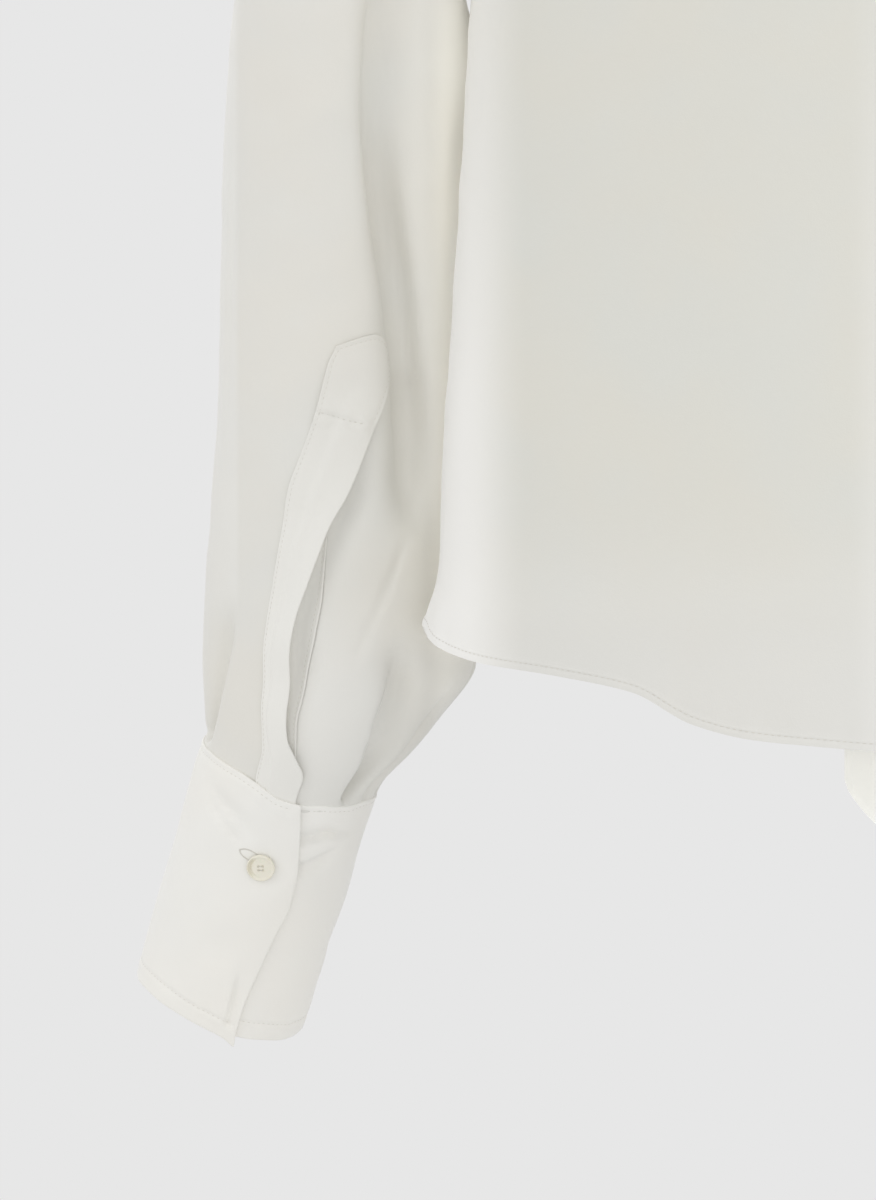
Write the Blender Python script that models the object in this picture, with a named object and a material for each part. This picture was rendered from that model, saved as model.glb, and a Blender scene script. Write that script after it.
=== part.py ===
"""Silk blouse, filled out as if worn.

A back and a front panel, two full sleeves with pointed plackets and deep barrel cuffs, and a
neck band whose ends are knotted into a tie with long tails.

Frame: metres, +Z up. The wearer faces -Y, so the back is on the +Y side, and the wearer's left
is +X. The origin is at the base of the neck, level with the tops of the shoulder seams."""

import math

import bmesh
import bpy
import numpy as np
from mathutils import Vector

BACK = 1
FRONT = -1
LEFT = 1
RIGHT = -1

SEAM_GAP = 0.0003
SILK = 0.0012
CUFF_CLOTH = 0.0016
STRIP_CLOTH = 0.0010
TIE_CLOTH = 0.0014

NECK_POINT = 0.0
SHOULDER_POINT = -0.055
UNDERARM = -0.262
HEM_AT_SIDE = -0.5682

PANEL_COLUMNS = 24
BODY_ROWS = 7
ARMHOLE_ROWS = 10
SHOULDER_ROWS = 3


def table(header, *rows):
    """A table with named columns: one array for each name in the header."""
    return dict(zip(header.split(), np.array(rows, dtype=float).T))


def read(source, column, at):
    """A table's column at a value of its first column, on a smooth curve with no overshoot."""
    keys = next(iter(source.values()))
    values = source[column]
    at = min(max(at, keys[0]), keys[-1])
    i = min(int(np.searchsorted(keys, at, side="right")) - 1, len(keys) - 2)
    rises = np.diff(values) / np.diff(keys)

    def slope(k):
        if k == 0 or k == len(keys) - 1:
            return rises[min(k, len(rises) - 1)]
        before, after = rises[k - 1], rises[k]
        return 2.0 * before * after / (before + after) if before * after > 0.0 else 0.0

    width = keys[i + 1] - keys[i]
    t = (at - keys[i]) / width
    return hermite(values[i], slope(i) * width, values[i + 1], slope(i + 1) * width, t)


def hermite(start, start_rate, end, end_rate, t):
    """A cubic from start to end with the given rates of change at its two ends."""
    return (
        start * (2 * t**3 - 3 * t**2 + 1)
        + start_rate * (t**3 - 2 * t**2 + t)
        + end * (3 * t**2 - 2 * t**3)
        + end_rate * (t**3 - t**2)
    )


def ease(t):
    """Goes smoothly from 0 to 1 while t does."""
    t = min(max(t, 0.0), 1.0)
    return t * t * (3.0 - 2.0 * t)


def spread(first, last, steps):
    """Evenly spaced values from first to last, both included."""
    return [first + (last - first) * i / steps for i in range(steps + 1)]


# The body's level sections. Each is an oval, with one half depth behind the side seams and
# one in front of them.
BODY = table(
    "height  half_width  back_depth  front_depth",
    (-0.6250, 0.2420, 0.131, 0.134),
    (-0.5682, 0.2418, 0.130, 0.134),
    (-0.5619, 0.2402, 0.130, 0.134),
    (-0.5514, 0.2372, 0.129, 0.133),
    (-0.5409, 0.2356, 0.128, 0.133),
    (-0.5115, 0.2346, 0.127, 0.132),
    (-0.4821, 0.2333, 0.126, 0.132),
    (-0.4485, 0.2308, 0.125, 0.132),
    (-0.4107, 0.2284, 0.124, 0.133),
    (-0.3687, 0.2258, 0.124, 0.134),
    (-0.2950, 0.2218, 0.124, 0.135),
    (-0.2400, 0.2190, 0.124, 0.133),
    (-0.1700, 0.2150, 0.121, 0.126),
    (-0.1050, 0.2110, 0.113, 0.113),
    (-0.0700, 0.2085, 0.106, 0.104),
    (-0.0550, 0.2050, 0.101, 0.099),
    (-0.0470, 0.1960, 0.098, 0.095),
    (-0.0350, 0.1680, 0.091, 0.087),
    (-0.0200, 0.1260, 0.079, 0.075),
    (0.0000, 0.0780, 0.058, 0.053),
)

# How far the hem hangs below its ends at the side seams, by the share of the half width.
HEM = table(
    "across  back_drop  front_drop",
    (0.000, 0.0535, 0.0400),
    (0.220, 0.0515, 0.0385),
    (0.350, 0.0490, 0.0370),
    (0.450, 0.0465, 0.0345),
    (0.545, 0.0405, 0.0305),
    (0.645, 0.0275, 0.0230),
    (0.770, 0.0210, 0.0165),
    (0.905, 0.0155, 0.0110),
    (0.960, 0.0110, 0.0075),
    (0.990, 0.0055, 0.0035),
    (1.000, 0.0000, 0.0000),
)
HEM_REACH = 0.13

BACK_NECK_DIP = 0.009
BACK_NECK_REACH = 0.15
FRONT_V_DIP = 0.18
FRONT_V_REACH = 0.40

BACK_ARMHOLE_BITE = math.radians(28)
FRONT_ARMHOLE_BITE = math.radians(34)


def armhole_angle(side, height):
    """How far round from the side line the armhole has cut into a panel."""
    share = (height - UNDERARM) / (SHOULDER_POINT - UNDERARM)
    if share <= 0.0 or share >= 1.0:
        return 0.0
    bite = BACK_ARMHOLE_BITE if side == BACK else FRONT_ARMHOLE_BITE
    return bite * math.sin(math.pi * share**0.7) ** 0.65


def depth_at(side, height):
    return read(BODY, "back_depth" if side == BACK else "front_depth", height)


def panel_point(side, across, height):
    """A point of a panel: across runs from the left edge, 0, to the right edge, 1."""
    edge = armhole_angle(side, height)
    angle = edge + (math.pi - 2.0 * edge) * across
    share = math.cos(angle)
    x = read(BODY, "half_width", height) * share
    drop = read(HEM, "back_drop" if side == BACK else "front_drop", abs(share))
    z = height - drop * ease(1.0 - (height - HEM_AT_SIDE) / HEM_REACH)
    if side == BACK:
        dip = BACK_NECK_DIP * (1.0 - share**2) * ease(1.0 + height / BACK_NECK_REACH)
    else:
        dip = FRONT_V_DIP * (1.0 - abs(share)) * max(0.0, 1.0 + height / FRONT_V_REACH)
    z -= dip
    inside = max(0.0, 1.0 - (x / read(BODY, "half_width", z)) ** 2)
    y = side * depth_at(side, z) * math.sqrt(inside)
    return Vector((x, y, z))


def body_normal(side, point):
    """The outward normal of the body's form at a point that lies on it."""
    step = 0.0005
    x, y, z = point
    width = read(BODY, "half_width", z)
    depth = depth_at(side, z)
    widening = (read(BODY, "half_width", z + step) - read(BODY, "half_width", z - step)) / (2 * step)
    deepening = (depth_at(side, z + step) - depth_at(side, z - step)) / (2 * step)
    slope = -(x**2) * widening / width**3 - y**2 * deepening / depth**3
    return Vector((x / width**2, y / depth**2, slope)).normalized()


def armhole_heights():
    """The heights of a panel's rows along the armhole, from the shoulder point down. They
    lie closer together near its two ends."""
    heights = []
    for k in range(ARMHOLE_ROWS + 1):
        share = k / ARMHOLE_ROWS
        rounded = (1.0 - math.cos(math.pi * share)) / 2.0
        heights.append(SHOULDER_POINT + (UNDERARM - SHOULDER_POINT) * (share + rounded) / 2.0)
    return heights


def panel_heights():
    below = spread(HEM_AT_SIDE, UNDERARM, BODY_ROWS)
    beside = armhole_heights()[::-1]
    above = spread(SHOULDER_POINT, NECK_POINT, SHOULDER_ROWS)
    return below + beside[1:] + above[1:]


def panel(side):
    """The rows of a panel's outer skin, each a list of (point, normal)."""
    rows = []
    for height in panel_heights():
        row = []
        for column in range(PANEL_COLUMNS + 1):
            point = panel_point(side, column / PANEL_COLUMNS, height)
            normal = body_normal(side, point)
            row.append((point + Vector((0.0, side * SEAM_GAP / 2.0, 0.0)), normal))
        rows.append(row)
    return rows


# The sleeve from the upper arm to the cuff, for the left arm. lean raises the outer side of a
# section and tip lowers its back, both in degrees.
ARM = table(
    "along  x  y  z  half_width  half_depth  lean  tip",
    (0.000, 0.2730, -0.036, -0.3220, 0.0520, 0.0540, 14, 0),
    (0.048, 0.2747, -0.047, -0.3700, 0.0522, 0.0540, 4, 0),
    (0.098, 0.2750, -0.057, -0.4200, 0.0535, 0.0540, 0, 0),
    (0.148, 0.2752, -0.066, -0.4700, 0.0560, 0.0540, 0, 0),
    (0.198, 0.2763, -0.075, -0.5200, 0.0578, 0.0540, 0, 0),
    (0.243, 0.2775, -0.083, -0.5650, 0.0584, 0.0525, 0, 0),
    (0.263, 0.2780, -0.087, -0.5855, 0.0580, 0.0510, 0, 4),
    (0.283, 0.2858, -0.090, -0.6055, 0.0500, 0.0465, 4, 12),
    (0.300, 0.2946, -0.093, -0.6220, 0.0415, 0.0400, 10, 20),
    (0.310, 0.2998, -0.095, -0.6330, 0.0354, 0.0330, 17, 24),
)
ARM_LENGTH = 0.310
CUFF_TOP = Vector((0.2998, -0.095, -0.6330))
CUFF_LEAN = 17
CUFF_TIP = 24
TUCK = 0.008

# Folds of the sleeve, each a soft trough from one point of the sleeve to another. The angles
# are round the arm in degrees: 0 at the back, 90 at the body, 180 in front.
SLEEVE_FOLDS = table(
    "from_along  from_angle  to_along  to_angle  width  depth",
    (-0.080, 21, 0.215, 33, 12, 0.0100),
    (0.250, 23, 0.309, 50, 8, 0.0060),
    (0.230, -53, 0.309, -82, 7, 0.0035),
    (0.225, 115, 0.308, 105, 9, 0.0070),
    (0.215, 165, 0.308, 160, 9, 0.0075),
    (0.235, 212, 0.308, 215, 8, 0.0060),
    (-0.060, 195, 0.160, 205, 14, 0.0080),
)
FOLD_FADE_IN = 0.30
FOLD_FADE_OUT = 0.12

# The cap leaves the armhole outward, along the shoulder's slope at its top, and turns down
# into the arm. The pulls say how far it holds each of the two directions.
CAP_ROWS = 6
CAP_TOP_PULL = 0.200
CAP_UNDERARM_PULL = 0.060
CAP_TOP_DOWN_PULL = 0.200
CAP_UNDERARM_DOWN_PULL = 0.080
SHOULDER_SLOPE = 0.80
CAP_GAP = SEAM_GAP * 1.5
UPPER_ROWS = (0.030, 0.062, 0.095, 0.126)
PLACKET_ROWS = (0.142, 0.158, 0.175, 0.192, 0.210, 0.228, 0.246, 0.262, 0.276, 0.288, 0.298, 0.3065)

# The slit in the sleeve and the two edges of the placket's overlap on it: where each lies
# round the arm, in degrees.
SLIT = table(
    "along  stitched_edge  slit  free_edge",
    (0.020, -9, 9, 18),
    (0.126, -3, 15, 24),
    (0.148, -10, 9, 18),
    (0.168, -16, 1, 10),
    (0.190, -23, -7, 2),
    (0.204, -25, -12, -5),
    (0.228, -29, -19, -13),
    (0.250, -32, -25, -19),
    (0.272, -32, -26, -19),
    (0.286, -27, -21, -13),
    (0.297, -21, -12, 0),
    (0.310, -14, -2, 10),
)
SLIT_TOP = 0.158
SLIT_HALF_WIDTH = 1.1
MARGIN = 0.0001

# The sleeve's columns, in degrees from the slit at the top of the sleeve. The two edges of the
# overlap and of the slit are columns of their own, so that the placket lies on their points.
OVERLAP_REACH = (-18, 9)
OVERLAP_COLUMNS = (-18, -9, -5, -SLIT_HALF_WIDTH, SLIT_HALF_WIDTH, 5, 9)
UNDERLAP_COLUMNS = (SLIT_HALF_WIDTH, 5, 9, 18)
FURTHER_COLUMNS = tuple(range(18, 342, 9))
COLUMNS = OVERLAP_COLUMNS + FURTHER_COLUMNS


def section_axes(lean, tip):
    """The outward, backward and downward unit vectors of a sleeve or cuff section."""
    lean = math.radians(lean)
    tip = math.radians(tip)
    outward = Vector((math.cos(lean), 0.0, math.sin(lean)))
    backward = Vector((0.0, math.cos(tip), -math.sin(tip)))
    backward = (backward - outward * backward.dot(outward)).normalized()
    return outward, backward, backward.cross(outward)


def oval_point(centre, axes, half_width, half_depth, angle):
    """A point of a section: angle is 0 at the back and 90 degrees on the side of the body."""
    turn = math.radians(angle)
    return centre - axes[0] * half_width * math.sin(turn) + axes[1] * half_depth * math.cos(turn)


def fold_depth(angle, along):
    """How deep the sleeve's folds are at a place on it."""
    total = 0.0
    for i in range(len(SLEEVE_FOLDS["depth"])):
        fold = {name: values[i] for name, values in SLEEVE_FOLDS.items()}
        share = (along - fold["from_along"]) / (fold["to_along"] - fold["from_along"])
        if not 0.0 < share < 1.0:
            continue
        centre = fold["from_angle"] + share * (fold["to_angle"] - fold["from_angle"])
        off = (angle - centre + 180.0) % 360.0 - 180.0
        ends = ease(share / FOLD_FADE_IN) * ease((1.0 - share) / FOLD_FADE_OUT)
        total += fold["depth"] * ends * math.exp(-((off / fold["width"]) ** 2))
    return total


def arm_point(angle, along):
    """A point of the sleeve's outer skin on the arm, below the cap."""
    past = max(0.0, along - ARM_LENGTH)
    lean = read(ARM, "lean", along)
    tip = read(ARM, "tip", along)
    axes = section_axes(lean, tip)
    centre = Vector([read(ARM, name, along) for name in "xyz"]) + axes[2] * past
    fold = fold_depth(angle, along)
    half_width = read(ARM, "half_width", along) - fold
    half_depth = read(ARM, "half_depth", along) - fold
    return oval_point(centre, axes, half_width, half_depth, angle)


def armhole_point(station):
    """A point of the armhole edge. station runs from 0 at the shoulder point, down the back
    to the underarm and up the front to the shoulder point again, one for each panel row."""
    station = station % (2 * ARMHOLE_ROWS)
    heights = armhole_heights()

    def corner(k):
        k = k % (2 * ARMHOLE_ROWS)
        side = BACK if k < ARMHOLE_ROWS else FRONT
        return panel_point(side, 0.0, heights[k if k <= ARMHOLE_ROWS else 2 * ARMHOLE_ROWS - k])

    k = int(math.floor(station))
    return corner(k).lerp(corner(k + 1), station - k)


def cap_point(angle, share):
    """A point of the sleeve's cap: share is 0 at the armhole and 1 where the arm begins."""
    station = (angle + 90.0) / (180.0 / ARMHOLE_ROWS)
    edge = armhole_point(station)
    top = (1.0 - math.sin(math.radians(angle))) / 2.0
    leave = Vector((1.0, 0.0, -SHOULDER_SLOPE * top**2)).normalized()
    start = edge + leave * CAP_GAP
    pull = CAP_UNDERARM_PULL + (CAP_TOP_PULL - CAP_UNDERARM_PULL) * top
    down_pull = CAP_UNDERARM_DOWN_PULL + (CAP_TOP_DOWN_PULL - CAP_UNDERARM_DOWN_PULL) * top
    step = 0.002
    join = arm_point(angle, 0.0)
    down = (arm_point(angle, step) - join) / step
    return hermite(start, leave * pull, join, down * down_pull, share)


def sleeve_point(angle, row):
    """A point of the sleeve: row runs from 0 at the armhole to 1 at the top of the arm, and
    past 1 it is 1 plus the distance along the arm."""
    if row < 1.0:
        return cap_point(angle, row)
    return arm_point(angle, row - 1.0)


def sleeve_normal(angle, row):
    """The outward normal of the sleeve, from four points close around the place."""
    turn = 0.5
    step = 0.004
    round_arm = sleeve_point(angle + turn, row) - sleeve_point(angle - turn, row)
    upper = max(0.0, row - step)
    lower = row + step
    if row >= 1.0:
        upper = max(1.0, upper)
    else:
        lower = min(1.0, lower)
    return round_arm.cross(sleeve_point(angle, upper) - sleeve_point(angle, lower)).normalized()


def column_angle(column, row):
    """Where one of the sleeve's columns lies round the arm, in degrees, on a row."""
    along = row - 1.0
    stitched, slit, free = [read(SLIT, name, along) for name in ("stitched_edge", "slit", "free_edge")]
    first, last = OVERLAP_REACH
    half = SLIT_HALF_WIDTH
    marks = (first, -half, half, last, first + 360.0)
    return float(np.interp(column, marks, (stitched, slit - half, slit + half, free, stitched + 360.0)))


def sleeve_stations():
    """The sleeve's rows, from the armhole to the end that is tucked into the cuff."""
    arm = UPPER_ROWS + PLACKET_ROWS + (ARM_LENGTH, ARM_LENGTH + TUCK)
    return spread(0.0, 1.0, CAP_ROWS) + [1.0 + along for along in arm]


def sleeve_row(row, columns=COLUMNS):
    """One row of the sleeve's outer skin, as (point, normal) pairs."""
    angles = [column_angle(column, row) for column in columns]
    return [(sleeve_point(angle, row), sleeve_normal(angle, row)) for angle in angles]


def sleeve_face_kept(i, j):
    """The sleeve has all its faces except the slit's column below the slit's top."""
    slit_column = OVERLAP_COLUMNS.index(-SLIT_HALF_WIDTH)
    return j != slit_column or sleeve_stations()[i] - 1.0 < SLIT_TOP - MARGIN


# The pointed top of the overlap: how far along the arm it begins in each column.
PLACKET_TOP = table(
    "column  along",
    (-18, 0.1290),
    (-5, 0.1252),
    (1, 0.1240),
    (9, 0.1350),
)
UNDERLAP_TOP = 0.175
UNDERLAP_CLOTH = 0.0009
SEWN_LIFT = SEAM_GAP + MARGIN
FREE_LIFT = SEWN_LIFT + UNDERLAP_CLOTH + SEAM_GAP + MARGIN
LIFT_BEGINS = -9.0
LIFT_TURN = 6.0
LIFT_LENGTH = 0.016


def placket():
    """The rows of the placket's overlap: the sleeve's own points, moved out."""
    tops = [float(np.interp(c, PLACKET_TOP["column"], PLACKET_TOP["along"])) for c in OVERLAP_COLUMNS]
    rows = [[sleeve_row(1.0 + top, [c])[0] for c, top in zip(OVERLAP_COLUMNS, tops)]]
    rows += [sleeve_row(1.0 + along, OVERLAP_COLUMNS) for along in PLACKET_ROWS]
    stations = [min(tops)] + list(PLACKET_ROWS)
    lifted = []
    for along, row in zip(stations, rows):
        over_slit = ease((along - SLIT_TOP + LIFT_LENGTH) / LIFT_LENGTH)
        out = []
        for column, (point, normal) in zip(OVERLAP_COLUMNS, row):
            off_sleeve = over_slit * ease((column - LIFT_BEGINS) / LIFT_TURN)
            lift = SEWN_LIFT + (FREE_LIFT - SEWN_LIFT) * off_sleeve + STRIP_CLOTH
            out.append((point + normal * lift, normal))
        lifted.append(out)
    return lifted


def underlap():
    """The rows of the placket's underlap, which binds the slit's other edge."""
    rows = []
    for along in PLACKET_ROWS:
        if along >= UNDERLAP_TOP:
            row = sleeve_row(1.0 + along, UNDERLAP_COLUMNS)
            rows.append([(point + normal * (SEWN_LIFT + UNDERLAP_CLOTH), normal) for point, normal in row])
    return rows


CUFF_DEPTH = 0.111
CUFF_HALF_WIDTH = 0.0385
CUFF_HALF_DEPTH = 0.0360
CUFF_TAPER = 0.0012
CUFF_UNDER_END = -28
CUFF_COLUMNS = 38
CUFF_ROWS = 4
CUFF_LIFT = CUFF_CLOTH + SEAM_GAP + MARGIN
CUFF_LIFT_BEGINS = 150.0
CUFF_LIFT_TURN = 150.0

# Where the cuff's free edge lies round the wrist, by the share of the cuff's depth.
CUFF_EDGE = table(
    "down  angle",
    (0.00, 13),
    (0.27, 21),
    (0.45, 25),
    (0.60, 21),
    (0.80, 15),
    (1.00, 15),
)


def cuff_point(angle, down, lift):
    """A point of the cuff: angle 0 is at the back, down runs from 0 at its top to 1."""
    axes = section_axes(CUFF_LEAN, CUFF_TIP)
    centre = CUFF_TOP + axes[2] * CUFF_DEPTH * down
    half_width = CUFF_HALF_WIDTH - CUFF_TAPER * down + lift
    half_depth = CUFF_HALF_DEPTH - CUFF_TAPER * down + lift
    return oval_point(centre, axes, half_width, half_depth, angle)


def cuff_normal(angle, down, lift):
    """The outward normal of the cuff, from four points close around the place."""
    turn = 0.5
    step = 0.01
    round_wrist = cuff_point(angle + turn, down, lift) - cuff_point(angle - turn, down, lift)
    upward = cuff_point(angle, down - step, lift) - cuff_point(angle, down + step, lift)
    return round_wrist.cross(upward).normalized()


def cuff():
    """The rows of the cuff, a band that goes once round the wrist and laps over its start."""
    rows = []
    for down in spread(0.0, 1.0, CUFF_ROWS):
        row = []
        whole_turn = 360.0 + read(CUFF_EDGE, "angle", down) - CUFF_UNDER_END
        for turn in spread(0.0, 1.0, CUFF_COLUMNS):
            angle = CUFF_UNDER_END + whole_turn * turn
            lift = CUFF_LIFT * ease((angle - CUFF_LIFT_BEGINS) / CUFF_LIFT_TURN)
            row.append((cuff_point(angle, down, lift), cuff_normal(angle, down, lift)))
        rows.append(row)
    return rows


BUTTON_DOWN = 0.255
BUTTON_SIDES = 20
BUTTON_GAP = SEAM_GAP * 1.2

# The button's profile from the middle of its underside to the middle of its face.
BUTTON_PROFILE = table(
    "radius  height",
    (0.0000, 0.0000),
    (0.0048, 0.0000),
    (0.0061, 0.0008),
    (0.0060, 0.0020),
    (0.0053, 0.0024),
    (0.0043, 0.0017),
    (0.0000, 0.0016),
)

BAND_WIDTH = 0.025
BAND_LEAN = 4.5
BAND_END_WIDTH = 0.006
BAND_WIDENING = 0.075
BAND_ROWS = 3
BAND_START = 0.62
BAND_GAP = SEAM_GAP * 1.3
BAND_FLAT_BELOW = -0.11
BAND_UPRIGHT_ABOVE = -0.02

KNOT_HALF = Vector((0.026, 0.014, 0.019))
KNOT_HEIGHT = -0.187
KNOT_GAP = 0.0007
KNOT_SQUARENESS = 0.85
KNOT_RINGS = 10
KNOT_SIDES = 20

TAIL_COLUMNS = (0.0, 0.02, 0.06, 0.12, 0.21) + tuple(spread(0.34, 1.0, 5))
TAIL_ROWS = 11
TAIL_EDGE = 0.0590
TAIL_WIDTH = 0.066
TAIL_TOP_WIDTH = 0.034
TAIL_FLARE = 0.14
TAIL_STAND_OFF = 0.010
TAIL_SETTLE = 0.06
TAIL_PLEATS = 3
TAIL_PLEAT_DEPTH = 0.0016
TAIL_PLEAT_FADE = 0.6

# The two tails: how far each is moved across from its own side, how much shorter it is, how
# far it hangs in front of the other, and how far its top is below the knot's lowest point.
TAILS = table(
    "hand  across  raised  in_front  below_knot",
    (RIGHT, 0.014, 0.028, 0.0060, -0.0001),
    (LEFT, 0.000, 0.000, 0.0000, SEAM_GAP),
)

# The slanted end of a tail, by the distance in from its outer edge.
TAIL_END = table(
    "inward  height",
    (0.0000, -0.6360),
    (0.0012, -0.6400),
    (0.0040, -0.6445),
    (0.0080, -0.6495),
    (0.0140, -0.6553),
    (0.0660, -0.6980),
)


def neckline():
    """The corners of the neck opening's edge, from near the foot of the V, up the left side,
    round the back and down the right side, each with the panel that it is on."""
    top = NECK_POINT
    foot = PANEL_COLUMNS // 2
    front = [panel_point(FRONT, k / PANEL_COLUMNS, top) for k in range(PANEL_COLUMNS + 1)]
    back = [panel_point(BACK, k / PANEL_COLUMNS, top) for k in range(PANEL_COLUMNS + 1)]
    left_end = front[foot - 1].lerp(front[foot], BAND_START)
    right_end = front[foot + 1].lerp(front[foot], BAND_START)
    corners = [(FRONT, left_end)]
    corners += [(FRONT, front[k]) for k in range(foot - 1, 0, -1)]
    corners += [(BACK, point) for point in back]
    corners += [(FRONT, front[k]) for k in range(PANEL_COLUMNS - 1, foot, -1)]
    corners += [(FRONT, right_end)]
    return corners


def neck_band():
    """The rows of the neck band. It stands up round the back and lies flat along the V."""
    corners = neckline()
    rows = [[] for _ in range(BAND_ROWS + 1)]
    for k, (side, point) in enumerate(corners):
        before = corners[max(k - 1, 0)][1]
        after = corners[min(k + 1, len(corners) - 1)][1]
        along = (after - before).normalized()
        outward = body_normal(side, point)
        flat = along.cross(outward).normalized()
        flat = flat if flat.z > 0.0 else -flat
        upright = Vector((-BAND_LEAN * point.x, -BAND_LEAN * point.y, 1.0)).normalized()
        stand = ease((point.z - BAND_FLAT_BELOW) / (BAND_UPRIGHT_ABOVE - BAND_FLAT_BELOW))
        rise = flat.lerp(upright, stand)
        rise = (rise - along * rise.dot(along)).normalized()
        normal = along.cross(rise).normalized()
        normal = normal if normal.dot(outward) > 0.0 else -normal
        from_foot = (point - Vector((0.0, point.y, -FRONT_V_DIP))).length
        width = BAND_END_WIDTH + (BAND_WIDTH - BAND_END_WIDTH) * ease(from_foot / BAND_WIDENING)
        for i, share in enumerate(spread(0.0, 1.0, BAND_ROWS)):
            rows[i].append((point + rise * (BAND_GAP + width * share), normal))
    return rows


def knot_centre():
    out = read(BODY, "front_depth", KNOT_HEIGHT) + KNOT_GAP
    return Vector((0.0, -out - KNOT_HALF.y, KNOT_HEIGHT))


def tail_point(across, down, raised, in_front, below_knot):
    """A point of the left tail: across runs from its outer edge, 0, to its inner edge, 1."""
    centre = knot_centre()
    end = float(np.interp(TAIL_WIDTH * across, TAIL_END["inward"], TAIL_END["height"])) + raised
    top = centre.z - KNOT_HALF.z - below_knot
    height = top + (end - top) * down
    flare = ease((top - height) / TAIL_FLARE)
    width = TAIL_TOP_WIDTH + (TAIL_WIDTH - TAIL_TOP_WIDTH) * flare
    outer = TAIL_TOP_WIDTH * 0.5 + (TAIL_EDGE - TAIL_TOP_WIDTH * 0.5) * flare
    hang = ease((top - height) / TAIL_SETTLE)
    out = -centre.y + (read(BODY, "front_depth", UNDERARM) + TAIL_STAND_OFF + centre.y) * hang
    pleat = TAIL_PLEAT_DEPTH * (1.0 - TAIL_PLEAT_FADE * flare)
    pleat *= math.cos(2.0 * math.pi * TAIL_PLEATS * across)
    return Vector((outer - width * across, -out - in_front + pleat, height))


def tail(hand):
    """The rows of a tail, which hangs from the knot."""
    which = list(TAILS["hand"]).index(hand)
    moved = TAILS["across"][which]
    hang = [TAILS[name][which] for name in ("raised", "in_front", "below_knot")]
    rows = []
    step = 0.002
    for down in spread(0.0, 1.0, TAIL_ROWS):
        row = []
        for across in TAIL_COLUMNS:
            left, right, upper, lower, point = [
                tail_point(across + a, down + d, *hang)
                for a, d in ((-step, 0.0), (step, 0.0), (0.0, -step), (0.0, step), (0.0, 0.0))
            ]
            normal = (right - left).cross(lower - upper).normalized()
            flare = ease((KNOT_HEIGHT - point.z) / TAIL_FLARE)
            point.x -= moved * flare
            row.append((point, normal if normal.y < 0.0 else -normal))
        rows.append(row)
    return rows


def mirrored(rows):
    """The same skin for the other side of the body."""
    def across(vector):
        return Vector((-vector.x, vector.y, vector.z))

    return [[(across(point), across(normal)) for point, normal in row] for row in rows]


def material(name, colour, roughness):
    """A Principled material with one colour."""
    made = bpy.data.materials.new(name)
    made.use_nodes = True
    shader = made.node_tree.nodes["Principled BSDF"]
    shader.inputs["Base Color"].default_value = (*colour, 1.0)
    shader.inputs["Roughness"].default_value = roughness
    shader.inputs["Metallic"].default_value = 0.0
    return made


def add_object(name, points, faces, colour, roughness=0.55):
    """A named object from one closed body, with its faces turned outward."""
    shape = bmesh.new()
    corners = [shape.verts.new(point) for point in points]
    for face in faces:
        shape.faces.new([corners[k] for k in face])
    if shape.calc_volume(signed=True) < 0.0:
        bmesh.ops.reverse_faces(shape, faces=shape.faces)
    mesh = bpy.data.meshes.new(name)
    shape.to_mesh(mesh)
    shape.free()
    mesh.shade_smooth()
    mesh.set_sharp_from_angle(angle=math.radians(50))
    mesh.materials.append(material(name, colour, roughness))
    made = bpy.data.objects.new(name, mesh)
    bpy.context.collection.objects.link(made)
    return made


def wall(name, rows, thickness, colour, closed=False, kept=None):
    """A cloth wall: an outer skin, the same skin moved in, and a rim along each open edge."""
    width = len(rows[0])
    points = [point for row in rows for point, normal in row]
    points += [point - normal * thickness for row in rows for point, normal in row]
    inner = len(rows) * width
    skin = []
    for i in range(len(rows) - 1):
        for j in range(width if closed else width - 1):
            if kept and not kept(i, j):
                continue
            a = i * width + j
            b = i * width + (j + 1) % width
            c = b + width
            d = a + width
            skin += [(a, b, c), (a, c, d)]
    edges = {(face[k], face[(k + 1) % 3]) for face in skin for k in range(3)}
    faces = list(skin)
    faces += [(a + inner, c + inner, b + inner) for a, b, c in skin]
    for a, b in sorted(edges):
        if (b, a) not in edges:
            faces += [(b, a, a + inner), (b, a + inner, b + inner)]
    used = sorted({k for face in faces for k in face})
    place = {k: n for n, k in enumerate(used)}
    faces = [tuple(place[k] for k in face) for face in faces]
    return add_object(name, [points[k] for k in used], faces, colour)


def turned(name, rings, colour, roughness):
    """A closed round body from rings of points, the first and the last being single points."""
    points = [rings[0][0]] + [point for ring in rings[1:-1] for point in ring] + [rings[-1][0]]
    sides = len(rings[1])
    last = len(points) - 1
    faces = []
    for j in range(sides):
        k = (j + 1) % sides
        faces.append((0, 1 + k, 1 + j))
        low = last - sides
        faces.append((last, low + j, low + k))
        for i in range(len(rings) - 3):
            a, b = 1 + i * sides + j, 1 + i * sides + k
            faces += [(a, b, b + sides), (a, b + sides, a + sides)]
    return add_object(name, points, faces, colour, roughness)


def cuff_button(name, hand):
    """A round button with a raised rim, sitting on the cuff's overlap."""
    normal = cuff_normal(0.0, BUTTON_DOWN, CUFF_LIFT)
    seat = cuff_point(0.0, BUTTON_DOWN, CUFF_LIFT) + normal * BUTTON_GAP
    level = normal.cross(Vector((0.0, 0.0, 1.0))).normalized()
    upward = level.cross(normal)
    rings = []
    for radius, height in zip(BUTTON_PROFILE["radius"], BUTTON_PROFILE["height"]):
        ring = []
        for k in range(BUTTON_SIDES):
            turn = 2.0 * math.pi * k / BUTTON_SIDES
            out = (level * math.cos(turn) + upward * math.sin(turn)) * radius
            point = seat + normal * height + out
            ring.append(Vector((point.x * hand, point.y, point.z)))
        rings.append(ring)
    return turned(name, rings, (0.80, 0.77, 0.68), 0.25)


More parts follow.
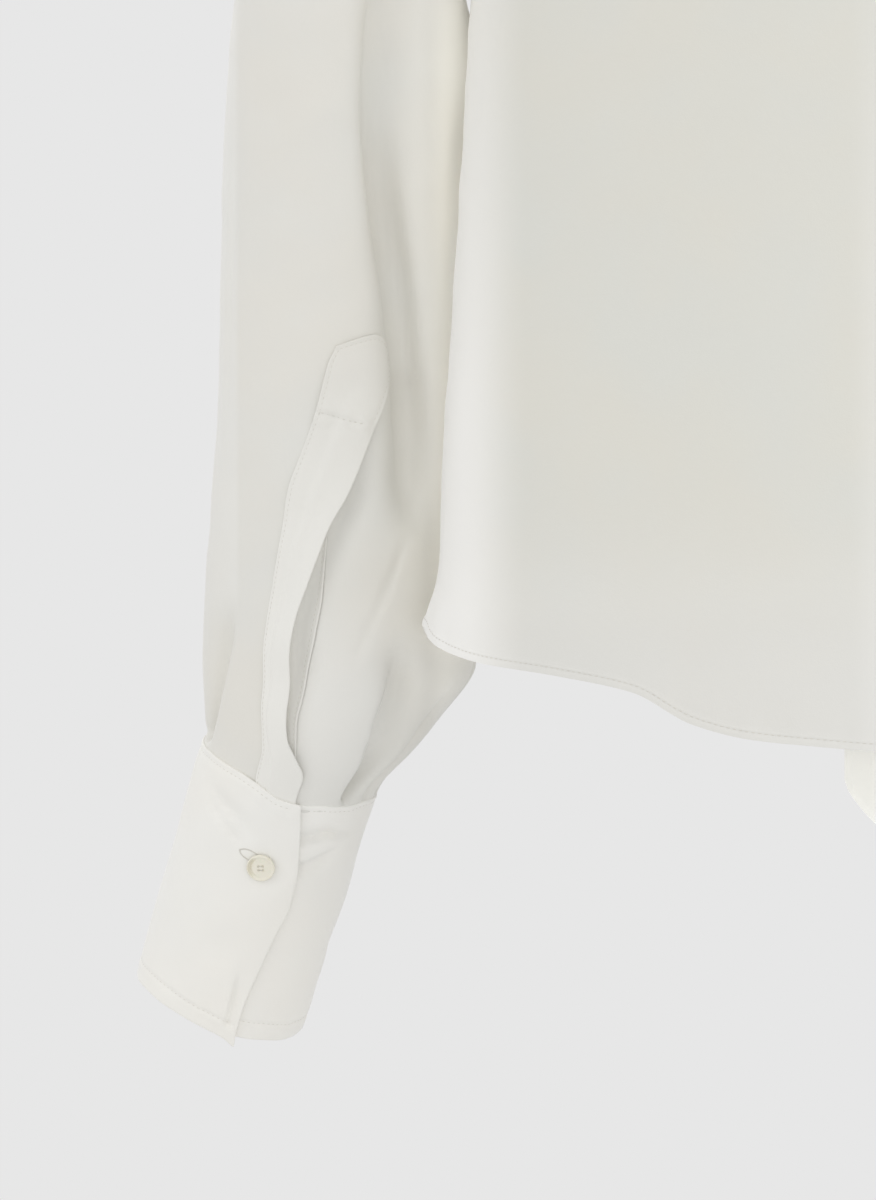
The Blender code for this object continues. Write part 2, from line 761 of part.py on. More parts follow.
def tie_knot():
    """The knot, a soft squarish lump of wound cloth."""
    centre = knot_centre()
    rings = []
    for i in range(KNOT_RINGS + 1):
        rise = math.pi * i / KNOT_RINGS - math.pi / 2.0
        ring = []
        for k in range(KNOT_SIDES):
            turn = 2.0 * math.pi * k / KNOT_SIDES
            share = [math.cos(rise) * math.cos(turn), math.cos(rise) * math.sin(turn), math.sin(rise)]
            full = [math.copysign(abs(value) ** KNOT_SQUARENESS, value) for value in share]
            ring.append(centre + Vector([full[n] * KNOT_HALF[n] for n in range(3)]))
        rings.append(ring)
    return turned("tie_knot", rings, (0.87, 0.86, 0.81), 0.5)


def remove_old_objects():
    for old in list(bpy.data.objects):
        bpy.data.objects.remove(old, do_unlink=True)


def main():
    remove_old_objects()
    body = (0.86, 0.85, 0.80)
    arm = (0.88, 0.87, 0.82)
    trim = (0.90, 0.89, 0.84)
    wall("back", panel(BACK), SILK, body)
    wall("front", panel(FRONT), SILK, body)
    sleeve_rows = [sleeve_row(row) for row in sleeve_stations()]
    for name, hand in (("left", LEFT), ("right", RIGHT)):
        def on(rows):
            return rows if hand == LEFT else mirrored(rows)

        wall(f"sleeve_{name}", on(sleeve_rows), SILK, arm, closed=True, kept=sleeve_face_kept)
        wall(f"placket_{name}", on(placket()), STRIP_CLOTH, trim)
        wall(f"underlap_{name}", on(underlap()), UNDERLAP_CLOTH, trim)
        wall(f"cuff_{name}", on(cuff()), CUFF_CLOTH, trim)
        wall(f"tie_tail_{name}", on(tail(hand)), TIE_CLOTH, trim)
        cuff_button(f"cuff_button_{name}", hand)
    wall("neck_band", neck_band(), TIE_CLOTH, trim)
    tie_knot()


main()
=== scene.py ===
"""Looks of the silk blouse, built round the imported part."""

import math

import bpy
import numpy as np
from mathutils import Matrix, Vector


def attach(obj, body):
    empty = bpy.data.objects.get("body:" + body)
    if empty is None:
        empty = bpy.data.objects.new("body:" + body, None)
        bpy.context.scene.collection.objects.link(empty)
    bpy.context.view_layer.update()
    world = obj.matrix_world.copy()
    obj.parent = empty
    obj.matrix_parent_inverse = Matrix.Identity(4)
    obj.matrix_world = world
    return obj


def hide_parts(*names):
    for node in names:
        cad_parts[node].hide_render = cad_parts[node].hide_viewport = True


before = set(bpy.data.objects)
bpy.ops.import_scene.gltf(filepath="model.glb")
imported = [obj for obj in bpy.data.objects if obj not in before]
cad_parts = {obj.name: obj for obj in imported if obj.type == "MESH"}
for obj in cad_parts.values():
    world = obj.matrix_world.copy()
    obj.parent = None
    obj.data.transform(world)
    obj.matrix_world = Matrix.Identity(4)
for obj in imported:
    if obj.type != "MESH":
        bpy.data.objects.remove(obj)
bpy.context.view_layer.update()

BACK = 1
FRONT = -1
LEFT = 1
RIGHT = -1

NECK_POINT = 0.0
SHOULDER_POINT = -0.055
UNDERARM = -0.262
HEM_AT_SIDE = -0.5682
UP = np.array([0.0, 0.0, 1.0])


# ---------------------------------------------------------------- curves and tables


def table(header, *rows):
    """A table with named columns: one array for each name in the header."""
    return dict(zip(header.split(), np.array(rows, dtype=float).T))


def hermite(start, start_rate, end, end_rate, t):
    """A cubic from start to end with the given rates of change at its two ends."""
    return (
        start * (2 * t**3 - 3 * t**2 + 1)
        + start_rate * (t**3 - 2 * t**2 + t)
        + end * (3 * t**2 - 2 * t**3)
        + end_rate * (t**3 - t**2)
    )


def read(source, column, at):
    """A table's column at values of its first column, on a smooth curve with no overshoot."""
    keys = next(iter(source.values()))
    values = source[column]
    at = np.clip(np.asarray(at, dtype=float), keys[0], keys[-1])
    i = np.clip(np.searchsorted(keys, at, side="right") - 1, 0, len(keys) - 2)
    width = np.diff(keys)
    rises = np.diff(values) / width
    product = rises[:-1] * rises[1:]
    total = rises[:-1] + rises[1:]
    inner = np.divide(2.0 * product, total, out=np.zeros_like(product), where=product > 0.0)
    slopes = np.concatenate([rises[:1], inner, rises[-1:]])
    t = (at - keys[i]) / width[i]
    return hermite(values[i], slopes[i] * width[i], values[i + 1], slopes[i + 1] * width[i], t)


def ease(t):
    """Goes smoothly from 0 to 1 while t does."""
    t = np.clip(t, 0.0, 1.0)
    return t * t * (3.0 - 2.0 * t)


def bell(t, power=2):
    """1 where t is 0, falling smoothly to nothing on both sides of it."""
    return np.exp(-(t**power))


def unit(vectors):
    """The same vectors, one long."""
    return vectors / np.maximum(np.linalg.norm(vectors, axis=-1, keepdims=True), 1e-12)


def stack(*parts):
    """Points from their x, y and z arrays."""
    return np.stack(np.broadcast_arrays(*parts), axis=-1)


def smooth_path(points, count):
    """A smooth line through a few points of any dimension, as evenly spaced points."""
    points = np.array(points, dtype=float)
    ends = np.concatenate([[2 * points[0] - points[1]], points, [2 * points[-1] - points[-2]]])
    line = []
    for k in range(len(points) - 1):
        a, b, c, d = ends[k:k + 4]
        t = np.linspace(0.0, 1.0, 16, endpoint=k == len(points) - 2)[:, None]
        line.append(hermite(b, (c - a) / 2, c, (d - b) / 2, t))
    return evenly(np.concatenate(line), count)


def evenly(line, count):
    """A line of points as count points at even distances along it."""
    steps = np.linalg.norm(np.diff(line, axis=0), axis=1)
    at = np.concatenate([[0.0], np.cumsum(steps)])
    want = np.linspace(0.0, at[-1], count)
    return np.stack([np.interp(want, at, line[:, n]) for n in range(line.shape[1])], axis=1)


def spaced(*spans):
    """Values at even steps over each (first, last, count) span, one span after another."""
    return np.concatenate([np.linspace(*span) for span in spans])


def ripple(points, size, seed, parts=10):
    """A smooth uneven value from about -1 to 1 at each point, with bumps of about that size."""
    random = np.random.default_rng(seed)
    directions = unit(random.normal(size=(parts, 3)))
    pace = 2.0 * math.pi / (size * random.uniform(0.7, 1.6, parts))
    phase = random.uniform(0.0, 2.0 * math.pi, parts)
    total = np.zeros(points.shape[:-1])
    for n in range(parts):
        total += np.sin(points @ directions[n] * pace[n] + phase[n])
    return total / math.sqrt(parts)


def waves(points, rows, turn=0):
    """Several ripples together, each a (depth, size, seed, stretch) row. A stretch under 1 draws
    the bumps out over the height. The turn is added to the seeds, so that the sides differ."""
    return sum(
        depth * ripple(points * [1.0, 1.0, stretch], size, seed + turn)
        for depth, size, seed, stretch in rows
    )


# ---------------------------------------------------------------- creases

CREASE_POINTS = 28
CREASE_REACH = 4.0
CREASE_WOBBLE = 0.18


def crease(u, v, row, seed):
    """How deep a soft trough is at (u, v). Its row has its path, its widths on the two sides,
    its depth, and the shares of its length that it fades over at its two ends."""
    path, before, after, depth, fade_in, fade_out = row
    line = smooth_path(path, CREASE_POINTS)
    reach = CREASE_REACH * max(before, after)
    low = line.min(axis=0) - reach
    high = line.max(axis=0) + reach
    near = (u > low[0]) & (u < high[0]) & (v > low[1]) & (v < high[1])
    total = np.zeros(u.shape)
    if not near.any():
        return total
    u, v = u[near], v[near]
    away = np.full(u.shape, np.inf)
    share = np.zeros(u.shape)
    side = np.ones(u.shape)
    count = len(line) - 1
    for k in range(count):
        du, dv = line[k + 1] - line[k]
        t = ((u - line[k][0]) * du + (v - line[k][1]) * dv) / (du * du + dv * dv)
        t = np.clip(t, 0.0, 1.0)
        off_u = u - (line[k][0] + du * t)
        off_v = v - (line[k][1] + dv * t)
        distance = np.hypot(off_u, off_v)
        closer = distance < away
        away = np.where(closer, distance, away)
        share = np.where(closer, (k + t) / count, share)
        side = np.where(closer, np.sign(off_u * dv - off_v * du), side)
    width = np.where(side < 0.0, before, after)
    ends = ease(share / fade_in) * ease((1.0 - share) / fade_out)
    random = np.random.default_rng(seed + 7)
    wobble = 1.0 + CREASE_WOBBLE * np.sin(share * random.uniform(7, 12) + random.uniform(0, 6))
    total[near] = depth * wobble * ends * bell(away / width)
    return total


def creases(u, v, rows, seed):
    """The depth of several creases together."""
    return sum(crease(u, v, row, seed + n) for n, row in enumerate(rows))


def round_creases(angle, along, rows, radius, seed, wraps):
    """The depth of creases on a tube, whose paths have degrees round it and metres along it.
    Where it wraps, an angle is the same place as that angle plus 360."""
    per_degree = math.radians(1.0) * radius
    total = np.zeros(angle.shape)
    for n, (path, *shape) in enumerate(rows):
        middle = np.mean([turn for turn, _ in path])
        at = (angle - middle + 180.0) % 360.0 - 180.0 + middle if wraps else angle
        line = [(turn * per_degree, distance) for turn, distance in path]
        total += crease(at * per_degree, along, (line, *shape), seed + n)
    return total


# ---------------------------------------------------------------- meshes


def grid_normals(points, closed=False):
    """The unit normals of a grid of points, rows by columns."""
    down = np.gradient(points, axis=0)
    if closed:
        across = (np.roll(points, -1, axis=1) - np.roll(points, 1, axis=1)) / 2.0
    else:
        across = np.gradient(points, axis=1)
    return unit(np.cross(across, down))


def facing(normals, outward):
    """The normals, all turned over if most of them point against outward."""
    return normals if np.sum(normals * outward) > 0.0 else -normals


RIM_TURNS = (40, 68, 88)


def rounded(points, normals, thickness, edges):
    """The grid with three more rows on each named edge, t, b, l or r, so that its rim is round."""
    grids = [points, normals, np.full(points.shape[:2], float(thickness))]
    radius = thickness / 2.0
    for edge in edges:
        if edge in "lr":
            grids = [grid.swapaxes(0, 1) for grid in grids]
        if edge in "tl":
            grids = [grid[::-1] for grid in grids]
        points, normals, thick = grids
        out = points[-1] - points[-2]
        out = unit(out - normals[-1] * np.sum(out * normals[-1], axis=-1, keepdims=True))
        more, turned, walls = [points], [normals], [thick]
        for turn in RIM_TURNS:
            a = math.radians(turn)
            inward = normals[-1] * radius * (1 - math.cos(a))
            more.append((points[-1] + out * radius * math.sin(a) - inward)[None])
            turned.append(normals[-1:])
            walls.append(thick[-1:] * math.cos(a))
        grids = [np.concatenate(rows) for rows in (more, turned, walls)]
        if edge in "tl":
            grids = [grid[::-1] for grid in grids]
        if edge in "lr":
            grids = [grid.swapaxes(0, 1) for grid in grids]
    return grids


def add_mesh(name, points, faces, material, sharp=60.0):
    """A named object from points and faces, riding on the part's one body."""
    mesh = bpy.data.meshes.new(name)
    mesh.from_pydata(points.tolist(), [], faces)
    mesh.validate()
    mesh.shade_smooth()
    if sharp:
        mesh.set_sharp_from_angle(angle=math.radians(sharp))
    mesh.materials.append(material)
    made = bpy.data.objects.new(name, mesh)
    bpy.context.scene.collection.objects.link(made)
    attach(made, "root")
    return made


def shell(name, points, normals, thickness, material, closed=False, kept=None):
    """A thin cloth: an outer skin, the same skin moved in, and a rim along each open edge.
    kept says which of the grid's faces are there."""
    rows, columns = points.shape[:2]
    thick = np.broadcast_to(thickness, (rows, columns))[..., None]
    outer = points.reshape(-1, 3)
    inner = (points - normals * thick).reshape(-1, 3)
    index = np.arange(rows * columns).reshape(rows, columns)
    if closed:
        index = np.concatenate([index, index[:, :1]], axis=1)
    a, b = index[:-1, :-1], index[:-1, 1:]
    c, d = index[1:, 1:], index[1:, :-1]
    quads = np.stack([a, b, c, d], axis=-1)
    if kept is not None:
        quads = quads[kept]
    quads = quads.reshape(-1, 4)
    flat = outer[quads]
    turn = np.cross(flat[:, 2] - flat[:, 0], flat[:, 3] - flat[:, 1])
    if np.sum(turn * normals.reshape(-1, 3)[quads[:, 0]]) < 0.0:
        quads = quads[:, ::-1]
    total = rows * columns
    start = quads.reshape(-1)
    end = np.roll(quads, -1, axis=1).reshape(-1)
    lone = ~np.isin(start * total + end, end * total + start)
    rim = np.stack([end[lone], start[lone], start[lone] + total, end[lone] + total], axis=-1)
    faces = np.concatenate([quads, quads[:, ::-1] + total, rim])
    used, place = np.unique(faces, return_inverse=True)
    both = np.concatenate([outer, inner])[used]
    return add_mesh(name, both, place.reshape(faces.shape).tolist(), material)


def cloth(name, points, outward, thickness, edges, material):
    """A cloth piece over a grid, with round rims on the named edges, and the grid's normals."""
    normals = facing(grid_normals(points), outward)
    return shell(name, *rounded(points, normals, thickness, edges), material), normals


def mirrored(vectors):
    """The vectors on the other side of the centre plane."""
    return vectors * np.array([-1.0, 1.0, 1.0])


def capped_faces(rings, sides):
    """The faces of a closed form: its points are a first one, rings of them and a last one."""
    faces = []
    top = 1 + (rings - 1) * sides
    for j in range(sides):
        k = (j + 1) % sides
        faces.append((0, 1 + k, 1 + j))
        for low in range(1, top, sides):
            faces.append((low + j, low + k, low + k + sides, low + j + sides))
        faces.append((top + sides, top + j, top + k))
    return faces


# A stitch is a capsule: its rings have their share of its half length and of its half width.
STITCH_SIDES = 6
STITCH_RINGS = ((-0.72, 0.78), (0.0, 1.0), (0.72, 0.78))


def thread_mesh(name, lines, material):
    """Stitches along lines, as one piece. Each line has its points, its normals and its kind of
    stitch: the pitch, the length, the half width and the turn off the line, in degrees."""
    turns = np.arange(STITCH_SIDES) * 2.0 * math.pi / STITCH_SIDES
    rings = [(reach, share, turn) for reach, share in STITCH_RINGS for turn in turns]
    form = np.array([(-1.0, 0.0, 0.0), *rings, (1.0, 0.0, 0.0)])
    reach, share, turn = form.T[..., None]
    stitch = np.array([face + face[-1:] * (4 - len(face)) for face in capped_faces(3, STITCH_SIDES)])
    all_points, all_faces, count = [], [], 0
    for line, normals, (pitch, length, half, skew) in lines:
        steps = np.linalg.norm(np.diff(line, axis=0), axis=1)
        at = np.concatenate([[0.0], np.cumsum(steps)])
        number = max(2, int(at[-1] / pitch))
        want = (np.arange(number) + 0.5) * at[-1] / number
        centre, up, ahead = (
            np.stack([np.interp(want, at, values[:, n]) for n in range(3)], axis=1)
            for values in (line, normals, np.gradient(line, axis=0))
        )
        up, ahead = unit(up), unit(ahead)
        ahead = unit(ahead - up * np.sum(ahead * up, axis=1, keepdims=True))
        beside = np.cross(up, ahead)
        a = math.radians(skew)
        cosine, sine = math.cos(a), math.sin(a)
        ahead, beside = ahead * cosine + beside * sine, beside * cosine - ahead * sine
        middle = centre[:, None] + ahead[:, None] * reach * length / 2.0
        ring = beside[:, None] * np.cos(turn) + up[:, None] * np.sin(turn)
        all_points.append((middle + ring * half * share).reshape(-1, 3))
        starts = count + np.arange(number) * len(form)
        all_faces.append((starts[:, None, None] + stitch).reshape(-1, 4))
        count += number * len(form)
    faces = [row[:3] if row[3] == row[2] else row for row in np.concatenate(all_faces).tolist()]
    return add_mesh(name, np.concatenate(all_points), faces, material, sharp=0.0)


# ---------------------------------------------------------------- materials


def new_material(name):
    """A material, its node tree and its Principled shader."""
    made = bpy.data.materials.new(name)
    made.use_nodes = True
    tree = made.node_tree
    return made, tree, tree.nodes["Principled BSDF"]


def constants(made, **inputs):
    """Sets a node's own sockets: an underscore stands for a space in a socket's name."""
    for key, value in inputs.items():
        made.inputs[key.replace("_", " ")].default_value = value


def node(tree, kind, **inputs):
    """A new node with the given constants."""
    made = tree.nodes.new(kind)
    constants(made, **inputs)
    return made


def noise(tree, place, **inputs):
    """A noise texture at the given coordinates."""
    made = node(tree, "ShaderNodeTexNoise", **inputs)
    tree.links.new(place, made.inputs["Vector"])
    return made.outputs["Fac"]


def ramp(tree, source, stops):
    """A colour for a value, from (position, colour) stops."""
    made = tree.nodes.new("ShaderNodeValToRGB")
    tree.links.new(source, made.inputs["Fac"])
    elements = made.color_ramp.elements
    for n, (position, colour) in enumerate(stops):
        stop = elements[n] if n < 2 else elements.new(position)
        stop.position = position
        stop.color = (*colour, 1.0)
    return made.outputs["Color"]


def combined(tree, operation, first, second):
    """A Math node on two values, the second a socket or a number."""
    made = tree.nodes.new("ShaderNodeMath")
    made.operation = operation
    tree.links.new(first, made.inputs[0])
    if isinstance(second, float):
        made.inputs[1].default_value = second
    else:
        tree.links.new(second, made.inputs[1])
    return made.outputs["Value"]


def mapped(tree, value, interpolation, **inputs):
    """A value turned from one range into another."""
    made = node(tree, "ShaderNodeMapRange", **inputs)
    made.interpolation_type = interpolation
    tree.links.new(value, made.inputs["Value"])
    return made.outputs["Result"]


def tinted(tree, colour, share, tint):
    """The colour, turned towards a tint where the share is 1."""
    made = tree.nodes.new("ShaderNodeMixRGB")
    tree.links.new(share, made.inputs["Fac"])
    tree.links.new(colour, made.inputs["Color1"])
    made.inputs["Color2"].default_value = (*tint, 1.0)
    return made.outputs["Color"]


def bumped(tree, shader, height, strength, distance):
    """Gives the shader bumps of that height."""
    bump = node(tree, "ShaderNodeBump", Strength=strength, Distance=distance)
    tree.links.new(height, bump.inputs["Height"])
    tree.links.new(bump.outputs["Normal"], shader.inputs["Normal"])


def silk_material(name, cool, warm, roughness=0.52, sheen=0.25, grain=0.10, zones=(), glow=None):
    """Silk crepe: two near tones in soft clouds, a fine pebbled grain and a low sheen. A zone,
    (tint, share, rows), turns the silk towards a tint, and fades in along every row's axis from
    its start to its end; the zones are painted light and shade, tints that lift the shade or stand
    in for light through the cloth. An axis is X, Y or Z, the distance from the centre plane, AX, or
    how far the silk faces one way, NX, NY or NZ. The glow, (strength, rows), is painted light: the
    silk gives off light of its own there, in place of light that comes through from behind or lifts the
    shade."""
    made, tree, shader = new_material(name)
    coordinates = tree.nodes.new("ShaderNodeTexCoord")
    place = coordinates.outputs["Object"]
    axes = {}
    for source, prefix in ((place, ""), (coordinates.outputs["Normal"], "N")):
        parts = tree.nodes.new("ShaderNodeSeparateXYZ")
        tree.links.new(source, parts.inputs[0])
        axes.update({prefix + axis: parts.outputs[axis] for axis in "XYZ"})
    axes["AX"] = combined(tree, "ABSOLUTE", axes["X"], 0.0)

    def where(share, rows):
        """The share, faded along every row's axis."""
        for axis, start, end in rows:
            faded = mapped(tree, axes[axis], "SMOOTHSTEP", From_Min=start, From_Max=end)
            share = combined(tree, "MULTIPLY", faded, share)
        return share

    clouds = noise(tree, place, Scale=16.0, Detail=3.0, Roughness=0.5)
    colour = ramp(tree, clouds, ((0.35, cool), (0.65, warm)))
    # Painted light and shade: each zone tints the silk towards a paler or warmer tone.
    for tint, share, rows in zones:
        colour = tinted(tree, colour, where(share, rows), tint)
    tree.links.new(colour, shader.inputs["Base Color"])
    worn = noise(tree, place, Scale=45.0, Detail=2.0)
    shine = mapped(tree, worn, "LINEAR", To_Min=roughness - 0.06, To_Max=roughness + 0.06)
    tree.links.new(shine, shader.inputs["Roughness"])
    pebble = noise(tree, place, Scale=1500.0, Detail=2.0, Roughness=0.6)
    slub = noise(tree, place, Scale=420.0, Detail=2.0, Roughness=0.5)
    bumped(tree, shader, combined(tree, "ADD", pebble, slub), grain, 0.0004)
    # Painted light: the glow makes the silk give off warm light of its own.
    if glow:
        constants(shader, Emission_Color=(1.0, 0.98, 0.90, 1.0))
        tree.links.new(where(*glow), shader.inputs["Emission Strength"])
    constants(shader, Sheen_Weight=sheen, Sheen_Roughness=0.45, Specular_IOR_Level=0.35)
    return made


def pearl_material(name):
    """Mother-of-pearl: cream with faint green and pink clouds under a clear polish."""
    made, tree, shader = new_material(name)
    place = tree.nodes.new("ShaderNodeTexCoord").outputs["Object"]
    swirl = noise(tree, place, Scale=260.0, Detail=3.0, Distortion=1.6)
    stops = ((0.30, (0.84, 0.81, 0.66)), (0.5, (0.87, 0.83, 0.72)), (0.70, (0.82, 0.82, 0.68)))
    tree.links.new(ramp(tree, swirl, stops), shader.inputs["Base Color"])
    bumped(tree, shader, noise(tree, place, Scale=900.0, Detail=2.0), 0.06, 0.0002)
    constants(shader, Roughness=0.28, Coat_Weight=0.35, Coat_Roughness=0.12)
    return made


# Painted light: the tail of the tie lies close behind the back panel here, and the silk over it is
# painted lighter, for the light that comes through it.
OVER_TAIL = (("X", 0.070, 0.050), ("X", -0.058, -0.038), ("Z", -0.16, -0.46))
# Painted light: the back is painted lighter towards the hem, for how the light falls there.
NEAR_HEM = (("Z", -0.50, -0.60),)
# Painted light: silk lets light through where it turns away from view, so here it is painted paler along
# the body's sides in every view.
PALE_SIDES = (((0.93, 0.92, 0.89), 0.95, (("AX", 0.198, 0.228),)),)
# The back of the sleeves and cuffs, which the painted light below is kept to.
AT_BACK = (("Y", -0.085, -0.045), ("Z", -0.24, -0.34))
# Painted light: the sleeve's side next to the body glows, to lift the shade between sleeve and body.
BESIDE_BODY = (("AX", 0.2420, 0.2310),) + AT_BACK
# Painted light: the sleeve's outer side above the cuff is painted paler.
OUTER_ARM = (("AX", 0.3195, 0.3225), ("Z", -0.575, -0.545)) + AT_BACK
# Painted light and shade: the sleeve's inner side, in shade beside the body, is painted paler and its
# shade warmer.
INNER_ARM = (("AX", 0.262, 0.241),) + AT_BACK
# Painted light: the sleeve below the slit, in shade near the cuff, is painted paler.
BELOW_SLIT = (("AX", 0.304, 0.288), ("AX", 0.254, 0.266), ("Z", -0.545, -0.605)) + AT_BACK
# Painted light: the placket's strip is painted paler towards its foot, where the light falls on it.
PLACKET_FOOT = (("Z", -0.44, -0.56),)
# Painted light: the cuff's under part, in shade beside the overlap, is painted paler.
CUFF_UNDER_PART = (("AX", 0.306, 0.284),) + AT_BACK
# Painted light: below the hem, the tail's side that faces back is painted paler and glows, for light that
# falls on it from behind.
TAIL_FOOT = (("Z", -0.600, -0.632), ("NY", 0.0, 0.5))

# All the silks below are one cloth. Their tones differ piece by piece, painted darker or lighter to match
# how light falls on each piece and comes through single and doubled cloth.
back_silk = silk_material(
    "back_silk",
    (0.727, 0.725, 0.674),
    (0.739, 0.725, 0.660),
    zones=(((0.78, 0.77, 0.745), 0.6, NEAR_HEM), ((0.86, 0.85, 0.82), 0.55, OVER_TAIL)) + PALE_SIDES,
)
front_silk = silk_material(
    "front_silk", (0.755, 0.752, 0.708), (0.765, 0.752, 0.695), zones=PALE_SIDES
)
sleeve_silk = silk_material(
    "sleeve_silk",
    (0.785, 0.778, 0.735),
    (0.797, 0.778, 0.722),
    zones=(
        ((0.93, 0.905, 0.83), 0.4, INNER_ARM),
        ((0.86, 0.855, 0.82), 0.5, OUTER_ARM),
        ((0.88, 0.872, 0.835), 0.7, BELOW_SLIT),
    ),
    # Painted light: the sleeve glows beside the body.
    glow=(0.15, BESIDE_BODY),
)
strip_silk = silk_material(
    "strip_silk",
    (0.795, 0.783, 0.736),
    (0.800, 0.781, 0.728),
    zones=(((0.865, 0.855, 0.812), 1.0, PLACKET_FOOT),),
)
tail_silk = silk_material(
    "tail_silk",
    (0.830, 0.828, 0.790),
    (0.838, 0.826, 0.775),
    0.46,
    0.3,
    # Painted light: the tail's foot is tinted paler and glows.
    zones=(((0.940, 0.940, 0.905), 1.0, TAIL_FOOT),),
    glow=(0.24, TAIL_FOOT),
)
trim_silk = silk_material("trim_silk", (0.830, 0.824, 0.785), (0.838, 0.822, 0.770), 0.46, 0.3)
cuff_silk = silk_material(
    "cuff_silk",
    (0.905, 0.896, 0.856),
    (0.912, 0.893, 0.840),
    0.48,
    0.3,
    zones=(((0.985, 0.972, 0.935), 0.85, CUFF_UNDER_PART),),
)
# Painted shade: the thread is darker and warmer than the silk it sews, for the shade in the stitch holes.
thread_silk = silk_material(
    "thread_silk", (0.700, 0.682, 0.625), (0.710, 0.682, 0.610), 0.42, 0.1, 0.04
)
pearl = pearl_material("pearl")


# ---------------------------------------------------------------- body

BODY = table(
    "height  half_width  back_depth  front_depth",
    (-0.6250, 0.2420, 0.131, 0.134),
    (-0.5682, 0.2418, 0.130, 0.134),
    (-0.5619, 0.2402, 0.130, 0.134),
    (-0.5514, 0.2372, 0.129, 0.133),
    (-0.5409, 0.2356, 0.128, 0.133),
    (-0.5115, 0.2346, 0.127, 0.132),
    (-0.4821, 0.2333, 0.126, 0.132),
    (-0.4485, 0.2308, 0.125, 0.132),
    (-0.4107, 0.2284, 0.124, 0.133),
    (-0.3687, 0.2258, 0.124, 0.134),
    (-0.2950, 0.2218, 0.124, 0.135),
    (-0.2400, 0.2190, 0.124, 0.133),
    (-0.1700, 0.2150, 0.121, 0.126),
    (-0.1050, 0.2110, 0.113, 0.113),
    (-0.0700, 0.2085, 0.106, 0.104),
    (-0.0550, 0.2050, 0.101, 0.099),
    (-0.0470, 0.1960, 0.098, 0.095),
    (-0.0350, 0.1680, 0.091, 0.087),
    (-0.0200, 0.1260, 0.079, 0.075),
    (0.0000, 0.0780, 0.058, 0.053),
)
HEM = table(
    "across  back_drop  front_drop",
    (0.000, 0.0535, 0.0400),
    (0.220, 0.0515, 0.0385),
    (0.350, 0.0490, 0.0370),
    (0.450, 0.0465, 0.0345),
    (0.545, 0.0405, 0.0305),
    (0.645, 0.0275, 0.0230),
    (0.770, 0.0210, 0.0165),
    (0.905, 0.0155, 0.0110),
    (0.960, 0.0110, 0.0075),
    (0.990, 0.0055, 0.0035),
    (1.000, 0.0000, 0.0000),
)
HEM_REACH = 0.13
BACK_NECK_DIP = 0.009
BACK_NECK_REACH = 0.15
FRONT_V_DIP = 0.18
FRONT_V_REACH = 0.40
BACK_ARMHOLE_BITE = math.radians(28)
FRONT_ARMHOLE_BITE = math.radians(34)

SILK = 0.0006
PANEL_WIDTH = 0.62
HEM_DEPTH = 0.0040
HEM_STEP = 0.0007
HEM_STITCH_INSET = 0.0030
# Each kind of stitch has its pitch, length, half width and turn off the line in degrees.
HEM_STITCH = (0.0027, 0.0017, 0.00016, 4.0)
DEPTH_OF = {BACK: "back_depth", FRONT: "front_depth"}
DROP_OF = {BACK: "back_drop", FRONT: "front_drop"}


def armhole_angle(side, height):
    """How far round from the side line the armhole has cut into a panel."""
    share = np.clip((height - UNDERARM) / (SHOULDER_POINT - UNDERARM), 0.0, 1.0)
    bite = BACK_ARMHOLE_BITE if side == BACK else FRONT_ARMHOLE_BITE
    return bite * np.clip(np.sin(math.pi * share**0.7), 0.0, 1.0) ** 0.65


def depth_at(side, height):
    """The body's half depth on one side at a height."""
    return read(BODY, DEPTH_OF[side], height)


def panel_point(side, across, height):
    """Points of a panel: across runs from the left edge, 0, to the right edge, 1."""
    edge = armhole_angle(side, height)
    angle = edge + (math.pi - 2.0 * edge) * across
    share = np.cos(angle)
    x = read(BODY, "half_width", height) * share
    drop = read(HEM, DROP_OF[side], np.abs(share))
    z = height - drop * ease(1.0 - (height - HEM_AT_SIDE) / HEM_REACH)
    if side == BACK:
        dip = BACK_NECK_DIP * (1.0 - share**2) * ease(1.0 + height / BACK_NECK_REACH)
    else:
        dip = FRONT_V_DIP * (1.0 - np.abs(share)) * np.maximum(0.0, 1.0 + height / FRONT_V_REACH)
    z = z - dip
    inside = np.maximum(0.0, 1.0 - (x / read(BODY, "half_width", z)) ** 2)
    y = side * depth_at(side, z) * np.sqrt(inside)
    return stack(x, y, z)


def body_normal(side, points):
    """The outward normals of the body's form at points that lie on it."""
    step = 0.0005
    x, y, z = points[..., 0], points[..., 1], points[..., 2]
    columns = ("half_width", DEPTH_OF[side])
    width, depth = (read(BODY, column, z) for column in columns)
    widening, deepening = (
        (read(BODY, column, z + step) - read(BODY, column, z - step)) / (2 * step)
        for column in columns
    )
    slope = -(x**2) * widening / width**3 - y**2 * deepening / depth**3
    return unit(stack(x / width**2, y / depth**2, slope))


# Creases of the back and of the front, in metres: x and z of the path, the widths on the two
# sides of it, the depth, and the share of its length that it fades over at each end.
BACK_CREASES = (
    (((0.200, -0.262), (0.158, -0.218), (0.112, -0.190)), 0.012, 0.016, 0.0035, 0.3, 0.5),
    (((-0.200, -0.268), (-0.150, -0.226), (-0.100, -0.190)), 0.012, 0.016, 0.0030, 0.3, 0.5),
    (((0.060, -0.050), (0.066, -0.150), (0.062, -0.275)), 0.018, 0.012, 0.0030, 0.3, 0.6),
    (((-0.055, -0.050), (-0.064, -0.160), (-0.070, -0.290)), 0.016, 0.012, 0.0028, 0.3, 0.6),
    (((0.165, -0.075), (0.172, -0.140), (0.178, -0.225)), 0.010, 0.014, 0.0025, 0.3, 0.5),
    (((-0.165, -0.075), (-0.170, -0.150), (-0.180, -0.240)), 0.010, 0.014, 0.0022, 0.3, 0.5),
    (((0.000, -0.038), (0.004, -0.112), (0.000, -0.200)), 0.020, 0.020, 0.0020, 0.4, 0.6),
    (((-0.110, -0.390), (-0.118, -0.490), (-0.122, -0.580)), 0.022, 0.030, 0.0022, 0.5, 0.3),
)
